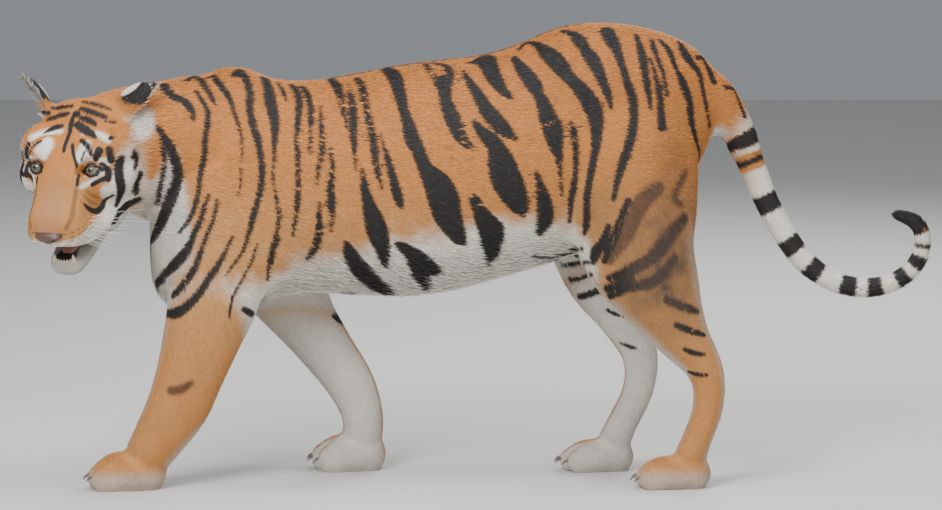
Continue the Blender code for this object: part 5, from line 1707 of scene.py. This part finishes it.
def whisker_grids():
    """Whiskers in four rows on each pad, and three over each eye: tapered tubes that sweep out and droop.

    A pad's whisker starts along 'out' and falls away from it by 35% of its reach, and back by 20%, at t^2.
    """
    rng = np.random.default_rng(WHISKER_SEED)
    t = np.linspace(0, 1, 12)[:, None]
    taper = t[:, 0]
    grids = []
    for side in (1, -1):
        for row in range(4):
            for place in range(4):
                f = 0.110 - 0.013 * place - 0.003 * row
                root = np.array([f, 0.030 + 0.0050 * place + 0.003 * row,
                                 -0.080 - 0.0105 * row - 0.10 * (0.11 - f)])
                reach = (0.062 + 0.022 * place) * rng.uniform(0.85, 1.15)
                out = np.array([-0.35 - 0.15 * place, 0.95, -0.10 - 0.16 * row]) + rng.normal(0, 0.08, 3)
                out /= np.linalg.norm(out)
                path = root + out * (reach * t) - np.array([0.20, 0.0, 0.35]) * reach * t ** 2
                grids.append((path * (1, side, 1), WHISKER_RADIUS * (1 - 0.86 * taper)))
        for place in range(3):
            path = (np.array([-0.022, 0.052 + 0.008 * place, 0.026])
                    + np.array([0.15, 0.35 + 0.2 * place, 0.9]) * (0.045 * t)
                    - np.array([0.022, 0.0, 0.0]) * t ** 2)
            grids.append((path * (1, side, 1), BROW_WHISKER_RADIUS * (1 - 0.85 * taper)))
    return [tube(from_head(path), radii, 4) for path, radii in grids]


# ---------------------------------------------------------------- the model

SOLE = 0.0035                       # the skin is kept on the floor below this height

FLESH = ["belly", "chest", "head", "hindquarters", "left_ear", "left_fore_paw", "left_foreleg",
         "left_hind_foot", "left_shank", "left_thigh", "lower_jaw", "neck", "right_ear", "right_fore_paw",
         "right_foreleg", "right_hind_foot", "right_shank", "right_thigh", "tail_bend", "tail_end",
         "tail_root", "tail_upper"]


def build_body():
    """The skin and its coat, in place of the solids of the flesh.

    The skin lies under the model's surface by the coat's depth, so that the tufts come up to that surface.
    """
    points, faces = closed_body()
    flat = points[:, 2] < SOLE
    points[:, 2] = np.maximum(points[:, 2], 0.0)
    share = body_place(points)[0]
    normals = unit(blur(point_normals(points, faces), faces, 2))
    points = muzzle_relief(toe_grooves(points, normals), normals)
    plan = coat_plan(points, normals, share)
    inset = normals * blur(plan["depth"], faces, 6)
    inset[flat, 2] = 0
    points = fit_to_eyes(points - inset)
    normals = point_normals(points, faces)
    share, lie, *place = body_place(points)
    smooth = unit(blur(normals, faces, 3))
    plan = coat_plan(points, smooth, share)
    lie = lie_of_fur(points, smooth, share, lie)
    tree = BVHTree.FromPolygons(points.tolist(), faces.tolist())
    bands = make_bands(tree)
    colour, dark = markings(points, smooth, share, bands)
    skin = surface("skin", points + PLACE, faces, skin_material(), colour, {"band": dark}, outward=False)
    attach(skin, "root")
    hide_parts(*FLESH)
    for piece in grow_coat(points, faces, normals, plan, lie, place, bands, share):
        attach(piece, "root")


def build_face():
    """Eyeballs, lids, nose leather, teeth, tongue, claws and whiskers."""
    glass = painted_material("eye_glass", 0.08, (900.0, 0.00002), Coat_Weight=1.0, Coat_Roughness=0.02)
    rim = plain_material("lid_rim", (0.020, 0.015, 0.013), 0.42)
    for side, name in ((1, "left"), (-1, "right")):
        rings, polar, turn = eyeball_grid(side)
        points, quads = gathered([rings])
        eye = surface(f"{name}_eyeball", points + PLACE, quads, glass, eye_colours(polar, turn))
        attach(eye, "root")
        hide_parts(f"{name}_eye")
        points, quads = gathered([lid_grid(side)])
        lids = surface(f"{name}_eyelids", points + PLACE, quads, rim)
        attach(lids, "root")
    grid, colour = nose_grid()
    leather = painted_material("nose_leather", 0.42, (900.0, 0.0004), Specular_IOR_Level=0.5)
    nose = surface("nose_leather", grid.reshape(-1, 3) + PLACE, grid_faces(*grid.shape[:2], False),
                   leather, colour, outward=False)
    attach(nose, "root")
    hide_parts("nose")
    ivory = plain_material("tooth_ivory", (0.66, 0.58, 0.42), 0.30)
    tongue = plain_material("tongue_flesh", (0.33, 0.13, 0.11), 0.38, 900.0, 0.0005)
    horn = plain_material("claw_horn", (0.16, 0.13, 0.11), 0.35)
    bristle = plain_material("whisker_white", (0.80, 0.78, 0.72), 0.35)
    parts = [
        ("teeth", teeth_grids(), ivory, "coat_white", ()),
        ("tongue_flesh", [tongue_grid()], tongue, "tongue_pink", ("tongue",)),
        ("claws", claw_grids(), horn, "coat_dark", ()),
        ("whiskers", whisker_grids(), bristle, "coat_white", ()),
    ]
    for name, grids, material, slot, nodes in parts:
        points, quads = gathered(grids)
        item = surface(name, points + PLACE, quads, material)
        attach(item, "root")
        if nodes:
            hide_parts(*nodes)


FLOOR_HALF = 9.0
LAMPS = [("key", (-2.2, -4.2, 3.8), 2.2, 300), ("fill", (3.6, -3.4, 2.2), 3.0, 80),
         ("rim", (1.4, 3.8, 3.2), 2.6, 130), ("top", (0.0, -0.6, 4.2), 3.0, 150)]     # place, size, power


def build_stage():
    """A plain pale floor, soft studio light and the camera."""
    floor_mesh = bpy.data.meshes.new("floor")
    corners = [(x * FLOOR_HALF, y * FLOOR_HALF, 0) for x, y in ((-1, -1), (1, -1), (1, 1), (-1, 1))]
    floor_mesh.from_pydata(corners, [], [(0, 1, 2, 3)])
    pale, _, _, shader = shader_of("floor_plain", 0.9)
    shader.inputs["Base Color"].default_value = (0.62, 0.62, 0.60, 1)
    floor_mesh.materials.append(pale)
    link("floor", floor_mesh)
    for name, place, size, power in LAMPS:
        lamp = bpy.data.lights.new(name, "AREA")
        lamp.size, lamp.energy = size, power
        item = link(name, lamp)
        item.location = place
        item.rotation_euler = (Vector((0, 0, 0.5)) - Vector(place)).to_track_quat("-Z", "Y").to_euler()
    world = bpy.context.scene.world or bpy.data.worlds.new("studio")
    bpy.context.scene.world = world
    world.use_nodes = True
    sky = world.node_tree.nodes["Background"]
    sky.inputs["Color"].default_value = (0.86, 0.90, 0.95, 1)
    sky.inputs["Strength"].default_value = 0.30
    lens = bpy.data.cameras.new("camera")
    lens.lens, lens.sensor_width = CAMERA_LENS, 36.0
    camera = link("camera", lens)
    camera.location = Vector(CAMERA_AT) + Vector(PLACE)
    camera.rotation_euler = (CAMERA_TILT, 0.0, 0.0)
    bpy.context.scene.camera = camera


build_body()
build_face()
build_stage()
